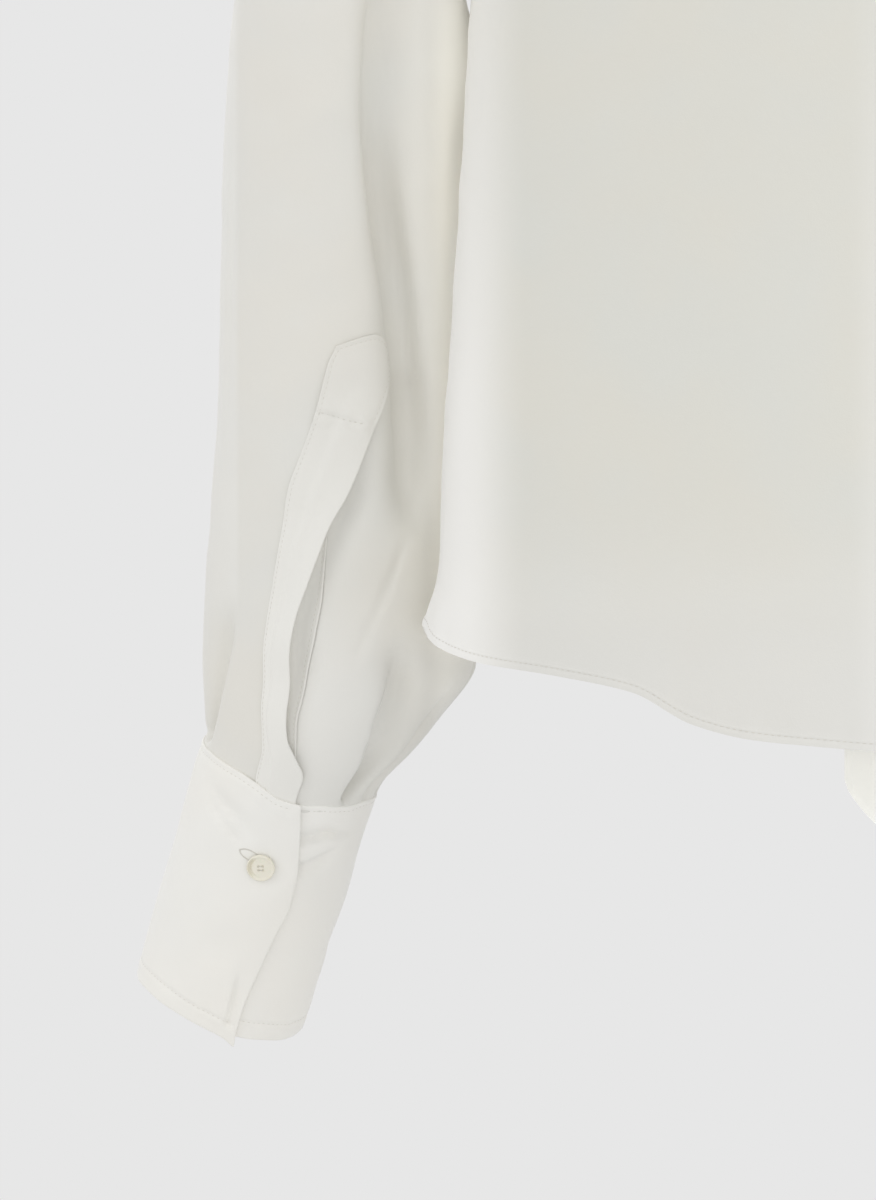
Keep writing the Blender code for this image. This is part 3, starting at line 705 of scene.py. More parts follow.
FRONT_CREASES = (
    (((0.040, -0.235), (0.070, -0.330), (0.092, -0.460), (0.098, -0.60)), 0.016, 0.024, 0.0065, 0.2, 0.2),
    (((-0.036, -0.235), (-0.074, -0.34), (-0.1, -0.45), (-0.112, -0.6)), 0.018, 0.022, 0.0058, 0.2, 0.2),
    (((0.120, -0.250), (0.132, -0.380), (0.140, -0.590)), 0.020, 0.028, 0.0060, 0.4, 0.2),
    (((-0.124, -0.270), (-0.140, -0.400), (-0.152, -0.590)), 0.018, 0.026, 0.0055, 0.4, 0.2),
    (((0.172, -0.300), (0.178, -0.430), (0.186, -0.580)), 0.014, 0.018, 0.0045, 0.4, 0.2),
    (((-0.176, -0.320), (-0.184, -0.450), (-0.190, -0.580)), 0.014, 0.020, 0.0042, 0.4, 0.2),
    (((0.165, -0.262), (0.140, -0.225), (0.100, -0.200)), 0.014, 0.020, 0.0040, 0.2, 0.5),
    (((-0.168, -0.258), (-0.138, -0.218), (-0.096, -0.198)), 0.013, 0.020, 0.0038, 0.2, 0.5),
    (((0.085, -0.045), (0.075, -0.110), (0.052, -0.175)), 0.010, 0.014, 0.0030, 0.3, 0.5),
    (((-0.088, -0.050), (-0.078, -0.118), (-0.056, -0.178)), 0.011, 0.013, 0.0028, 0.3, 0.5),
    (((0.150, -0.090), (0.158, -0.150), (0.160, -0.210)), 0.012, 0.016, 0.0030, 0.3, 0.5),
    (((-0.148, -0.085), (-0.156, -0.155), (-0.162, -0.215)), 0.012, 0.015, 0.0027, 0.3, 0.5),
    (((0.010, -0.330), (0.014, -0.450), (0.008, -0.600)), 0.016, 0.016, 0.0030, 0.4, 0.3),
)
PANEL_CREASES = {BACK: (BACK_CREASES, 11), FRONT: (FRONT_CREASES, 31)}
# The lower middle of the back stands out a little between two soft edges.
CENTRE_BAND_EDGE = 0.062
CENTRE_BAND_STEP = 0.024
CENTRE_BAND_RISE = 0.0011
CENTRE_BAND_TOP = -0.10
CENTRE_BAND_FADE = 0.12

# How uneven the panels are: the depth, size, seed and stretch of their waves.
PANEL_WAVES = ((0.0009, 0.12, 5, 0.45), (0.00016, 0.035, 9, 1.0))
PANEL_CALM = 0.05
STITCH_PUCKER = ((0.00034, 0.014, 21, 0.2),)
HEM_WAVES = ((0.0007, 0.06, 23, 0.3),)
FRONT_HEM_WAVES = ((0.0016, 0.16, 25, 0.15),)
SEAM_PUCKER = ((0.00035, 0.020, 27, 1.0),)


def edge_columns():
    """Shares across a panel, closer together at its two edges."""
    near = np.array([0.0, 0.0010, 0.0022, 0.0040, 0.0065, 0.0100])
    return np.concatenate([near, np.linspace(0.0142, 0.9858, 215), 1.0 - near[::-1]])


def panel_heights():
    """Heights of a panel's rows, closer together at the hem and round the neck."""
    hem = [0.0, 0.0006, 0.0013, 0.0022, 0.0030, 0.0034, 0.0038, 0.0044, 0.0060]
    below = np.linspace(HEM_AT_SIDE + 0.009, UNDERARM - 0.004, 66)
    beside = np.linspace(UNDERARM, SHOULDER_POINT, 52)
    above = np.linspace(SHOULDER_POINT + 0.002, NECK_POINT - 0.003, 17)
    return np.concatenate([HEM_AT_SIDE + np.array(hem), below, beside, above, [-0.0015, NECK_POINT]])


def panel(side, name, material):
    """A body panel: its form, its creases, its seams and its stitched hem."""
    heights = panel_heights()[:, None]
    shares = edge_columns()[None, :]
    points = panel_point(side, shares, heights)
    normals = body_normal(side, points)
    x, z = points[..., 0], points[..., 2]
    from_hem = (heights - HEM_AT_SIDE) * np.ones_like(x)
    from_edge = np.minimum(shares, 1.0 - shares)
    middle = ease(from_edge / PANEL_CALM) * ease(-heights / PANEL_CALM)
    depth = creases(x, z, *PANEL_CREASES[side])
    depth -= waves(points, PANEL_WAVES, side) * middle
    depth -= waves(points, STITCH_PUCKER, side) * bell((from_hem - 0.004) / 0.007)
    depth -= waves(points, HEM_WAVES, side) * bell(from_hem / 0.03) * middle
    if side == BACK:
        band = ease((CENTRE_BAND_EDGE - np.abs(x)) / CENTRE_BAND_STEP)
        depth -= CENTRE_BAND_RISE * band * ease((CENTRE_BAND_TOP - z) / CENTRE_BAND_FADE)
    else:
        depth -= waves(points, FRONT_HEM_WAVES) * bell(from_hem / 0.12) * middle
    from_seam = from_edge * PANEL_WIDTH
    depth += 0.0005 * bell(from_seam / 0.0016)
    depth -= waves(points, SEAM_PUCKER, side) * bell((from_seam - 0.010) / 0.008)
    depth -= HEM_STEP * ease((HEM_DEPTH - from_hem) / 0.0006)
    depth += 0.0004 * bell((from_hem - HEM_STITCH_INSET) / 0.0006)
    points = points - normals * depth[..., None]
    made, fresh = cloth(name, points, normals, SILK, "", material)
    row = int(np.argmin(np.abs(panel_heights() - HEM_AT_SIDE - HEM_STITCH_INSET)))
    return made, (points[row] + fresh[row] * 0.00006, fresh[row], HEM_STITCH)


silk_back, back_hem = panel(BACK, "silk_back", back_silk)
silk_front, front_hem = panel(FRONT, "silk_front", front_silk)


# ---------------------------------------------------------------- form of sleeves and cuffs

ARM = table(
    "along  x  y  z  half_width  half_depth  lean  tip",
    (0.000, 0.2730, -0.036, -0.3220, 0.0520, 0.0540, 14, 0),
    (0.048, 0.2747, -0.047, -0.3700, 0.0522, 0.0540, 4, 0),
    (0.098, 0.2750, -0.057, -0.4200, 0.0535, 0.0540, 0, 0),
    (0.148, 0.2752, -0.066, -0.4700, 0.0560, 0.0540, 0, 0),
    (0.198, 0.2763, -0.075, -0.5200, 0.0578, 0.0540, 0, 0),
    (0.243, 0.2775, -0.083, -0.5650, 0.0584, 0.0525, 0, 0),
    (0.263, 0.2780, -0.087, -0.5855, 0.0580, 0.0510, 0, 4),
    (0.283, 0.2858, -0.090, -0.6055, 0.0500, 0.0465, 4, 12),
    (0.300, 0.2946, -0.093, -0.6220, 0.0415, 0.0400, 10, 20),
    (0.310, 0.2998, -0.095, -0.6330, 0.0354, 0.0330, 17, 24),
)
ARM_LENGTH = 0.310
ARM_RADIUS = 0.054
CUFF_TOP = np.array([0.2998, -0.095, -0.6330])
CUFF_LEAN = 17
CUFF_TIP = 24
SLEEVE_FOLDS = table(
    "from_along  from_angle  to_along  to_angle  width  depth",
    (-0.080, 21, 0.215, 33, 12, 0.0100),
    (0.250, 23, 0.309, 50, 8, 0.0060),
    (0.230, -53, 0.309, -82, 7, 0.0035),
    (0.225, 115, 0.308, 105, 9, 0.0070),
    (0.215, 165, 0.308, 160, 9, 0.0075),
    (0.235, 212, 0.308, 215, 8, 0.0060),
    (-0.060, 195, 0.160, 205, 14, 0.0080),
)
FOLD_FADE_IN = 0.30
FOLD_FADE_OUT = 0.12
CAP_TOP_PULL = 0.200
CAP_UNDERARM_PULL = 0.060
CAP_TOP_DOWN_PULL = 0.200
CAP_UNDERARM_DOWN_PULL = 0.080
SHOULDER_SLOPE = 0.80

CUFF_DEPTH = 0.111
CUFF_HALF_WIDTH = 0.0385
CUFF_HALF_DEPTH = 0.0360
CUFF_TAPER = 0.0012
CUFF_RADIUS = 0.0372
CUFF_UNDER_END = -28.0
CUFF_LIFT = 0.0020
CUFF_LIFT_BEGINS = 150.0
CUFF_LIFT_TURN = 150.0

# The cuff's three free edges. Its angles run from the hidden end, before 0, once round the
# wrist to the overlap's end, past 360; along is the distance below the top of its form.
CUFF_TOP_EDGE = table(
    "angle  along",
    (-28, -0.0031),
    (13, -0.0031),
    (29, -0.0044),
    (50, -0.0047),
    (63, -0.0055),
    (95, -0.0020),
    (150, 0.0000),
    (210, 0.0000),
    (250, -0.0030),
    (280, -0.0050),
    (305, -0.0075),
    (330, -0.0086),
    (343, -0.0075),
    (352, -0.0055),
    (358, -0.0042),
    (366, -0.0039),
    (375, -0.0038),
)
CUFF_BOTTOM_EDGE = table(
    "angle  along",
    (-28, 0.1050),
    (0, 0.1078),
    (14, 0.1100),
    (35, 0.1104),
    (57, 0.1118),
    (90, 0.1120),
    (150, 0.1110),
    (220, 0.1110),
    (260, 0.1100),
    (288, 0.1082),
    (309, 0.1071),
    (325, 0.1074),
    (341, 0.1085),
    (361, 0.1102),
    (369, 0.1118),
    (375, 0.1141),
)
CUFF_FREE_EDGE = table(
    "along  angle",
    (-0.0036, 12.2),
    (0.0067, 15.8),
    (0.0161, 18.8),
    (0.0305, 22.8),
    (0.0455, 24.0),
    (0.0583, 20.8),
    (0.0735, 18.2),
    (0.0916, 14.5),
    (0.1016, 14.0),
    (0.1141, 15.5),
)

# How far off the cuff's form the sleeve ends, inside the cuff's cloth: under the overlap it
# follows the overlap, and beside the placket it leaves room for the placket's strip.
SEAT = table(
    "angle  lift",
    (-14, 0.0002),
    (0, -0.0004),
    (150, -0.0004),
    (300, 0.0011),
    (325, 0.0011),
    (346, 0.0002),
)
SEAT_BLEND = 0.012
SLEEVE_ENDS_BELOW = 0.0012
TUCK_DEPTH = 0.0014


def section_axes(lean, tip):
    """The outward, backward and downward unit vectors of sleeve or cuff sections."""
    lean = np.radians(lean)
    tip = np.radians(tip)
    zero = np.zeros_like(lean * tip)
    outward = stack(np.cos(lean), zero, np.sin(lean))
    backward = stack(zero, np.cos(tip), -np.sin(tip))
    backward = unit(backward - outward * np.sum(backward * outward, axis=-1, keepdims=True))
    return outward, backward, np.cross(backward, outward)


def oval_point(centre, axes, half_width, half_depth, angle):
    """Points of sections: angle is 0 at the back and 90 degrees on the side of the body."""
    turn = np.radians(angle)
    return (
        centre
        - axes[0] * (half_width * np.sin(turn))[..., None]
        + axes[1] * (half_depth * np.cos(turn))[..., None]
    )


def cuff_form(angle, along, lift):
    """Points of the cuff's form, lifted off it: angle 0 is at the back."""
    axes = section_axes(np.float64(CUFF_LEAN), np.float64(CUFF_TIP))
    narrower = CUFF_TAPER * along / CUFF_DEPTH
    centre = CUFF_TOP + axes[2] * along[..., None]
    half_width = CUFF_HALF_WIDTH - narrower + lift
    half_depth = CUFF_HALF_DEPTH - narrower + lift
    return oval_point(centre, axes, half_width, half_depth, angle)


def cuff_normal(angle, along, lift):
    """The outward normals of the cuff's form."""
    turn = 0.5
    step = 0.001
    round_wrist = cuff_form(angle + turn, along, lift) - cuff_form(angle - turn, along, lift)
    upward = cuff_form(angle, along - step, lift) - cuff_form(angle, along + step, lift)
    return unit(np.cross(round_wrist, upward))


def around(angle):
    """The same angle between -180 and 180 degrees."""
    return (angle + 180.0) % 360.0 - 180.0


def cuff_seam(angle):
    """Where the cuff's top edge lies along the sleeve, at angles round the sleeve."""
    return ARM_LENGTH + read(CUFF_TOP_EDGE, "along", np.where(angle < 13.0, angle + 360.0, angle))


def fold_depth(angle, along):
    """How deep the sleeve's main folds are at places on it."""
    total = np.zeros(np.broadcast(angle, along).shape)
    for i in range(len(SLEEVE_FOLDS["depth"])):
        fold = {name: values[i] for name, values in SLEEVE_FOLDS.items()}
        share = (along - fold["from_along"]) / (fold["to_along"] - fold["from_along"])
        centre = fold["from_angle"] + share * (fold["to_angle"] - fold["from_angle"])
        off = around(angle - centre)
        ends = ease(share / FOLD_FADE_IN) * ease((1.0 - share) / FOLD_FADE_OUT)
        ends = ends * ((share > 0.0) & (share < 1.0))
        total = total + fold["depth"] * ends * np.exp(-((off / fold["width"]) ** 2))
    return total


def arm_point(angle, along):
    """Points of the sleeve's outer skin on the arm, below the cap."""
    past = np.maximum(0.0, along - ARM_LENGTH)
    axes = section_axes(read(ARM, "lean", along), read(ARM, "tip", along))
    centre = stack(*[read(ARM, name, along) for name in "xyz"]) + axes[2] * past[..., None]
    fold = fold_depth(angle, along)
    half_width = read(ARM, "half_width", along) - fold
    half_depth = read(ARM, "half_depth", along) - fold
    return oval_point(centre, axes, half_width, half_depth, angle)


def armhole_point(angle):
    """Points of the armhole edge. The angle is -90 at the shoulder point and 90 underarm."""
    station = ((angle + 90.0) / 180.0) % 2.0
    share = np.where(station <= 1.0, station, 2.0 - station)
    rounded_share = (1.0 - np.cos(math.pi * share)) / 2.0
    height = SHOULDER_POINT + (UNDERARM - SHOULDER_POINT) * (share + rounded_share) / 2.0
    behind = panel_point(BACK, 0.0, height)
    before = panel_point(FRONT, 0.0, height)
    return np.where((station <= 1.0)[..., None], behind, before)


def cap_point(angle, share):
    """Points of the sleeve's cap: share is 0 at the armhole and 1 where the arm begins."""
    angle = angle * np.ones_like(share)
    top = (1.0 - np.sin(np.radians(angle))) / 2.0
    leave = unit(stack(np.ones_like(top), np.zeros_like(top), -SHOULDER_SLOPE * top**2))
    start = armhole_point(angle)
    pull = CAP_UNDERARM_PULL + (CAP_TOP_PULL - CAP_UNDERARM_PULL) * top
    down_pull = CAP_UNDERARM_DOWN_PULL + (CAP_TOP_DOWN_PULL - CAP_UNDERARM_DOWN_PULL) * top
    step = 0.002
    join = arm_point(angle, np.zeros_like(angle))
    down = (arm_point(angle, np.full_like(angle, step)) - join) / step
    t = (share * np.ones_like(top))[..., None]
    return hermite(start, leave * pull[..., None], join, down * down_pull[..., None], t)


def sleeve_point(angle, row):
    """Points of the sleeve: row runs from 0 at the armhole to 1 at the top of the arm, and
    past 1 it is 1 plus the distance along the arm."""
    angle, row = np.broadcast_arrays(np.asarray(angle, float), np.asarray(row, float))
    cap = cap_point(angle, np.clip(row, 0.0, 1.0))
    arm = arm_point(angle, np.maximum(row - 1.0, 0.0))
    return np.where((row < 1.0)[..., None], cap, arm)


def sleeve_normal(angle, row):
    """The outward normals of the sleeve's form."""
    turn = 0.5
    step = 0.004
    round_arm = sleeve_point(angle + turn, row) - sleeve_point(angle - turn, row)
    upper = np.where(row >= 1.0, np.maximum(row - step, 1.0), np.maximum(row - step, 0.0))
    lower = np.where(row >= 1.0, row + step, np.minimum(row + step, 1.0))
    return unit(np.cross(round_arm, sleeve_point(angle, upper) - sleeve_point(angle, lower)))


# ---------------------------------------------------------------- sleeves

# The slit in the sleeve and the two edges of the overlap on it, in degrees round the arm.
SLIT = table(
    "along  stitched_edge  slit  free_edge",
    (0.020, -9.0, 9.0, 18.0),
    (0.126, -3.0, 15.0, 24.0),
    (0.136, -7.0, 13.0, 24.0),
    (0.148, -10.0, 9.0, 18.0),
    (0.158, -12.5, 5.0, 13.5),
    (0.168, -16.0, 1.0, 10.0),
    (0.190, -23.0, -7.0, 2.0),
    (0.204, -25.0, -12.0, -5.0),
    (0.214, -26.5, -15.5, -8.5),
    (0.228, -29.0, -19.0, -13.0),
    (0.244, -31.5, -23.5, -18.0),
    (0.258, -33.0, -26.0, -20.0),
    (0.272, -32.0, -26.0, -19.0),
    (0.284, -28.0, -22.5, -14.5),
    (0.292, -24.0, -16.0, -5.0),
    (0.298, -20.5, -10.0, 4.0),
    (0.306, -16.0, -4.0, 9.0),
    (0.310, -14.0, -2.0, 10.0),
)
SLIT_TOP = 0.158
SLIT_HALF_WIDTH = 1.1
OVERLAP_REACH = (-18.0, 9.0)

# The trough that the open placket leaves beside its free edge, shaped as a crease's row is.
GAPE_FROM = 0.165
GAPE_TO = 0.287
GAPE_OFF_EDGE = 2.5
GAPE_SHAPE = (0.0040, 0.0060, 0.0030, 0.3, 0.25)

# Creases of a sleeve on top of its main folds. The path has the angle round the arm and the
# distance along it; the widths and the depth are in metres.
LONG_FOLD = (
    (12, -0.070), (17, 0.024), (21, 0.050), (27.5, 0.088), (31, 0.110), (35, 0.172), (31, 0.214)
)
SLEEVE_CREASES = (
    (LONG_FOLD, 0.009, 0.0055, 0.0085, 0.2, 0.25),
    (((31, 0.203), (16, 0.240), (3, 0.266)), 0.0018, 0.0012, 0.0012, 0.3, 0.4),
    (((24, 0.252), (26, 0.273), (32, 0.288), (46, 0.306)), 0.0016, 0.0062, 0.0072, 0.5, 0.1),
    (((-53, 0.236), (-67, 0.272), (-80, 0.304)), 0.0035, 0.0050, 0.0030, 0.4, 0.1),
    (((-62, 0.020), (-66, 0.110), (-63, 0.225)), 0.0025, 0.0060, 0.0010, 0.3, 0.4),
    (((62, 0.262), (60, 0.285), (63, 0.309)), 0.0030, 0.0030, 0.0025, 0.5, 0.1),
    (((86, 0.250), (84, 0.280), (82, 0.309)), 0.0040, 0.0030, 0.0040, 0.5, 0.1),
    (((138, 0.240), (134, 0.275), (131, 0.309)), 0.0040, 0.0050, 0.0045, 0.5, 0.1),
    (((186, 0.250), (184, 0.280), (183, 0.309)), 0.0040, 0.0030, 0.0040, 0.5, 0.1),
    (((238, 0.235), (240, 0.270), (244, 0.309)), 0.0040, 0.0050, 0.0040, 0.5, 0.1),
    (((262, 0.262), (264, 0.285), (266, 0.309)), 0.0030, 0.0030, 0.0025, 0.5, 0.1),
    (((150, 0.010), (165, 0.080), (186, 0.160), (192, 0.235)), 0.012, 0.006, 0.0050, 0.3, 0.4),
    (((232, 0.030), (240, 0.120), (236, 0.215)), 0.008, 0.012, 0.0040, 0.3, 0.4),
    (((118, 0.020), (176, 0.046), (222, 0.028)), 0.006, 0.005, 0.0028, 0.3, 0.3),
    (((128, 0.052), (180, 0.074), (226, 0.060)), 0.006, 0.005, 0.0022, 0.3, 0.3),
    (((70, 0.000), (66, 0.080), (72, 0.170)), 0.010, 0.010, 0.0030, 0.3, 0.4),
    (((92, -0.090), (92, 0.000), (92, 0.060)), 0.018, 0.022, -0.0058, 0.4, 0.45),
)
CAP_LENGTH = 0.24
CAP_GATHERS = 11
CAP_GATHER_DEPTH = 0.0014
CAP_GATHER_REACH = 70.0
CAP_SEAM_DEPTH = 0.0006
SLEEVE_WAVES = ((0.0011, 0.075, 61, 0.4), (0.00022, 0.028, 63, 1.0))


def sleeve_crease_depth(angle, row):
    """The depth of the sleeve's creases, of its cap's gathers and of its armhole seam."""
    along = np.where(row >= 1.0, row - 1.0, (row - 1.0) * CAP_LENGTH)
    total = round_creases(angle, along, SLEEVE_CREASES, ARM_RADIUS, 50, wraps=True)
    top = bell(around(angle + 90.0) / CAP_GATHER_REACH)
    gather = np.cos(np.radians(angle * CAP_GATHERS) + 0.9 * np.sin(np.radians(angle * 3.0)))
    fade = ease(row / 0.05) * (1.0 - ease((row - 0.05) / 0.5))
    on_cap = CAP_GATHER_DEPTH * gather * top * fade + CAP_SEAM_DEPTH * bell(row / 0.012)
    return total + np.where(row < 1.0, on_cap, 0.0)


def gape_depth(angle, along):
    """The depth of the trough beside the placket's free edge."""
    per_degree = math.radians(1.0) * ARM_RADIUS
    at = np.linspace(GAPE_FROM, GAPE_TO, 9)
    turn = read(SLIT, "free_edge", at) + GAPE_OFF_EDGE
    line = list(zip(turn * per_degree, at))
    return crease(around(angle) * per_degree, along, (line, *GAPE_SHAPE), 49)


def column_angle(column, along):
    """Where the sleeve's columns lie round the arm, in degrees, at distances along it."""
    column, along = np.broadcast_arrays(np.asarray(column, float), np.asarray(along, float))
    stitched, slit, free = (
        read(SLIT, name, along) for name in ("stitched_edge", "slit", "free_edge")
    )
    half = SLIT_HALF_WIDTH
    marks = (OVERLAP_REACH[0], -half, half, OVERLAP_REACH[1], OVERLAP_REACH[0] + 360.0)
    places = (stitched, slit - half, slit + half, free, stitched + 360.0)
    out = np.zeros(column.shape)
    for n in range(4):
        inside = (column >= marks[n]) & (column <= marks[n + 1])
        share = (column - marks[n]) / (marks[n + 1] - marks[n])
        out = np.where(inside, places[n] + (places[n + 1] - places[n]) * share, out)
    return out


def seated(angle, row):
    """How far the sleeve has turned into the cuff's form: 0 on the arm, 1 at the cuff's seam."""
    return ease((row - 1.0 - cuff_seam(angle) + SEAT_BLEND) / SEAT_BLEND)


def sleeve_surface(angle, row, hand, gaping=True):
    """Points and normals of the dressed sleeve, with all its creases."""
    angle, row = np.broadcast_arrays(np.asarray(angle, float), np.asarray(row, float))
    in_cuff = seated(angle, row)[..., None]
    past = row - 1.0 - ARM_LENGTH
    lift = read(SEAT, "lift", angle)
    points = sleeve_point(angle, row) * (1.0 - in_cuff) + cuff_form(angle, past, lift) * in_cuff
    normals = sleeve_normal(angle, row) * (1.0 - in_cuff)
    normals = unit(normals + cuff_normal(angle, past, lift) * in_cuff)
    depth = sleeve_crease_depth(angle, row)
    if gaping:
        depth = depth + gape_depth(angle, row - 1.0)
    if hand == RIGHT:
        points, normals = mirrored(points), mirrored(normals)
    middle = np.where(row < 1.0, ease(row / 0.3), ease((1.0 + ARM_LENGTH - row) / 0.05))
    depth = depth - waves(points, SLEEVE_WAVES, hand) * middle
    past_seam = row - 1.0 - cuff_seam(angle)
    depth = depth * (1.0 - 0.9 * ease((past_seam + 0.005) / 0.005))
    depth = depth + TUCK_DEPTH * ease((past_seam - 0.002) / 0.004)
    return points - normals * depth[..., None], normals


SLEEVE_COLUMNS = spaced((-18.0, -SLIT_HALF_WIDTH, 10), (SLIT_HALF_WIDTH, 9.0, 6), (11.0, 340.0, 170))
SLIT_COLUMN = 9
SLEEVE_ROWS = np.concatenate([
    [0.0, 0.006, 0.014, 0.026],
    np.linspace(0.045, 0.98, 42),
    1.0 + np.linspace(0.0, 0.230, 84),
    1.0 + np.linspace(0.2325, 0.2900, 30),
    1.0 + np.linspace(0.2912, ARM_LENGTH + SLEEVE_ENDS_BELOW, 22),
])


def sleeve(hand, name):
    """A sleeve, slit open under the placket and gathered into the cuff."""
    angles = column_angle(SLEEVE_COLUMNS[None, :], SLEEVE_ROWS[:, None] - 1.0)
    points, normals = sleeve_surface(angles, SLEEVE_ROWS[:, None], hand)
    fresh = facing(grid_normals(points, closed=True), normals)
    kept = np.ones((len(SLEEVE_ROWS) - 1, len(SLEEVE_COLUMNS)), dtype=bool)
    kept[SLEEVE_ROWS[:-1] > 1.0 + SLIT_TOP, SLIT_COLUMN] = False
    return shell(name, points, fresh, SILK, sleeve_silk, closed=True, kept=kept)


# ---------------------------------------------------------------- plackets

PLACKET_TOP = table(
    "column  along",
    (-18.0, 0.1290),
    (-12.0, 0.1268),
    (-5.0, 0.1248),
    (-2.0, 0.1242),
    (2.0, 0.1250),
    (4.5, 0.1268),
    (7.0, 0.1305),
    (9.0, 0.1360),
)
PLACKET_END = 0.309
STRIP_CLOTH = 0.0008
SEWN_LIFT = 0.0004
FREE_LIFT = 0.0017
LIFT_BEGINS = -9.0
LIFT_TURN = 6.0
LIFT_LENGTH = 0.016
GAPE_LIFT = 0.0022
BAR_STITCHES = table(
    "column  along",
    (-18.0, 0.1560),
    (0.0, 0.1602),
    (9.0, 0.1620),
)
BAR_TO_COLUMN = 4.0
STITCH_INSET = 1.5
TOP_STITCH_INSET = 0.0016
STITCH_GROOVE = 0.00025
STRIP_WAVES = ((0.00035, 0.024, 71, 1.0),)
BAR_PUCKER = ((0.0004, 0.007, 75, 0.35),)
UNDERLAP_EDGE = table(
    "along  angle",
    (0.158, 9.0),
    (0.175, 5.0),
    (0.190, 0.0),
    (0.202, -4.5),
    (0.208, -6.0),
    (0.220, -7.0),
    (0.236, -8.0),
    (0.250, -10.5),
    (0.266, -14.0),
    (0.276, -13.5),
    (0.285, -10.0),
    (0.292, -6.0),
    (0.300, 3.0),
    (0.310, 12.0),
)
UNDERLAP_TOP = 0.160
UNDERLAP_LIFT = 0.0009
UNDERLAP_CLOTH = 0.0006
UNDERLAP_STITCHED = 0.86
EDGE_STITCH = (0.0023, 0.0013, 0.00013, 3.0)
TOP_STITCH = (0.0021, 0.0012, 0.00013, 3.0)
BAR_STITCH = (0.0024, 0.0015, 0.00022, 6.0)
UNDERLAP_STITCH = (0.0023, 0.0013, 0.00012, 3.0)


def placket_surface(column, along, hand):
    """Points and normals of the overlap at its columns and distances along the arm."""
    column, along = np.broadcast_arrays(np.asarray(column, float), np.asarray(along, float))
    angle = column_angle(column, along)
    points, normals = sleeve_surface(angle, 1.0 + along, hand, gaping=False)
    below_top = along - read(PLACKET_TOP, "along", column)
    below_bar = along - read(BAR_STITCHES, "along", column)
    above_slit = ease((SLIT_TOP + 0.006 - along) / 0.004)
    over_slit = ease((along - SLIT_TOP + LIFT_LENGTH) / LIFT_LENGTH)
    off_sleeve = over_slit * ease((column - LIFT_BEGINS) / LIFT_TURN)
    lift = SEWN_LIFT + (FREE_LIFT - SEWN_LIFT) * off_sleeve + STRIP_CLOTH
    gaping = ease((along - 0.166) / 0.04) * ease((0.302 - along) / 0.03)
    lift = lift + GAPE_LIFT * ease((column + 3.0) / 12.0) * gaping
    lift = lift + waves(points, STRIP_WAVES, hand) * over_slit
    bar_end = ease((BAR_TO_COLUMN + 4.0 - column) / 5.0)
    lift = lift - 0.0006 * bell(below_bar / 0.0010) * bar_end
    lift = lift + waves(points, BAR_PUCKER, hand) * bell(below_bar / 0.0045)
    lift = lift + 0.0004 * above_slit * ease((below_top - 0.003) / 0.010)
    groove = bell((column - OVERLAP_REACH[0] - STITCH_INSET) / 0.7)
    groove = groove + bell((OVERLAP_REACH[1] - STITCH_INSET - column) / 0.7) * above_slit
    groove = groove + bell((below_top - TOP_STITCH_INSET) / 0.0007)
    lift = lift - STITCH_GROOVE * np.minimum(groove, 1.0)
    lift = lift * (1.0 - 0.40 * seated(angle, 1.0 + along))
    return points + normals * lift[..., None], normals


def placket(hand, side):
    """The overlap, its edge stitches and the bar of stitches above the slit."""
    columns = spaced((-18.0, -15.0, 6), (-14.0, 5.0, 17), (5.8, 9.0, 6))
    shares = spaced((0.0, 0.03, 10), (0.036, 0.24, 44), (0.25, 1.0, 96))
    tops = read(PLACKET_TOP, "along", columns)[None, :]
    along = tops + (PLACKET_END - tops) * shares[:, None]
    points, normals = placket_surface(columns[None, :], along, hand)
    strip, _ = cloth(f"placket_strip_{side}", points, normals, STRIP_CLOTH, "trl", strip_silk)
    left = OVERLAP_REACH[0] + STITCH_INSET
    right = OVERLAP_REACH[1] - STITCH_INSET
    over_top = np.linspace(left, right, 60)
    over_bar = np.linspace(left, BAR_TO_COLUMN, 40)
    seams = []
    for column, last in ((left, PLACKET_END - 0.004), (right, SLIT_TOP + 0.002)):
        first = float(read(PLACKET_TOP, "along", column)) + TOP_STITCH_INSET
        seams.append((np.full(90, column), np.linspace(first, last, 90), EDGE_STITCH))
    seams.append((over_top, read(PLACKET_TOP, "along", over_top) + TOP_STITCH_INSET, TOP_STITCH))
    seams.append((over_bar, read(BAR_STITCHES, "along", over_bar), BAR_STITCH))
    return strip, [(*placket_surface(column, at, hand), kind) for column, at, kind in seams]


def underlap_surface(share, along, hand):
    """Points and normals of the underlap: share is 0 at the slit and 1 at its stitched edge."""
    first = read(SLIT, "slit", along) + SLIT_HALF_WIDTH
    angle = first + (read(UNDERLAP_EDGE, "angle", along) - first) * share
    points, normals = sleeve_surface(angle, 1.0 + along, hand)
    in_cuff = seated(angle, 1.0 + along)
    lift = UNDERLAP_LIFT * (1.0 - 0.95 * in_cuff)
    lift = lift + 0.0003 * bell((share - 0.96) / 0.05) * (1.0 - in_cuff)
    return points + normals * lift[..., None], normals


def underlap(hand, side):
    """The strip that binds the slit's other edge, and its stitches."""
    shares = spaced((0.0, 0.8, 9), (0.84, 1.0, 6))[None, :]
    along = np.linspace(UNDERLAP_TOP, PLACKET_END, 100)[:, None]
    points, normals = underlap_surface(shares, along, hand)
    name = f"underlap_strip_{side}"
    strip, _ = cloth(name, points, normals, UNDERLAP_CLOTH, "lr", sleeve_silk)
    at = np.linspace(UNDERLAP_TOP + 0.002, PLACKET_END - 0.003, 80)
    return strip, [(*underlap_surface(UNDERLAP_STITCHED, at, hand), UNDERLAP_STITCH)]


# ---------------------------------------------------------------- cuffs

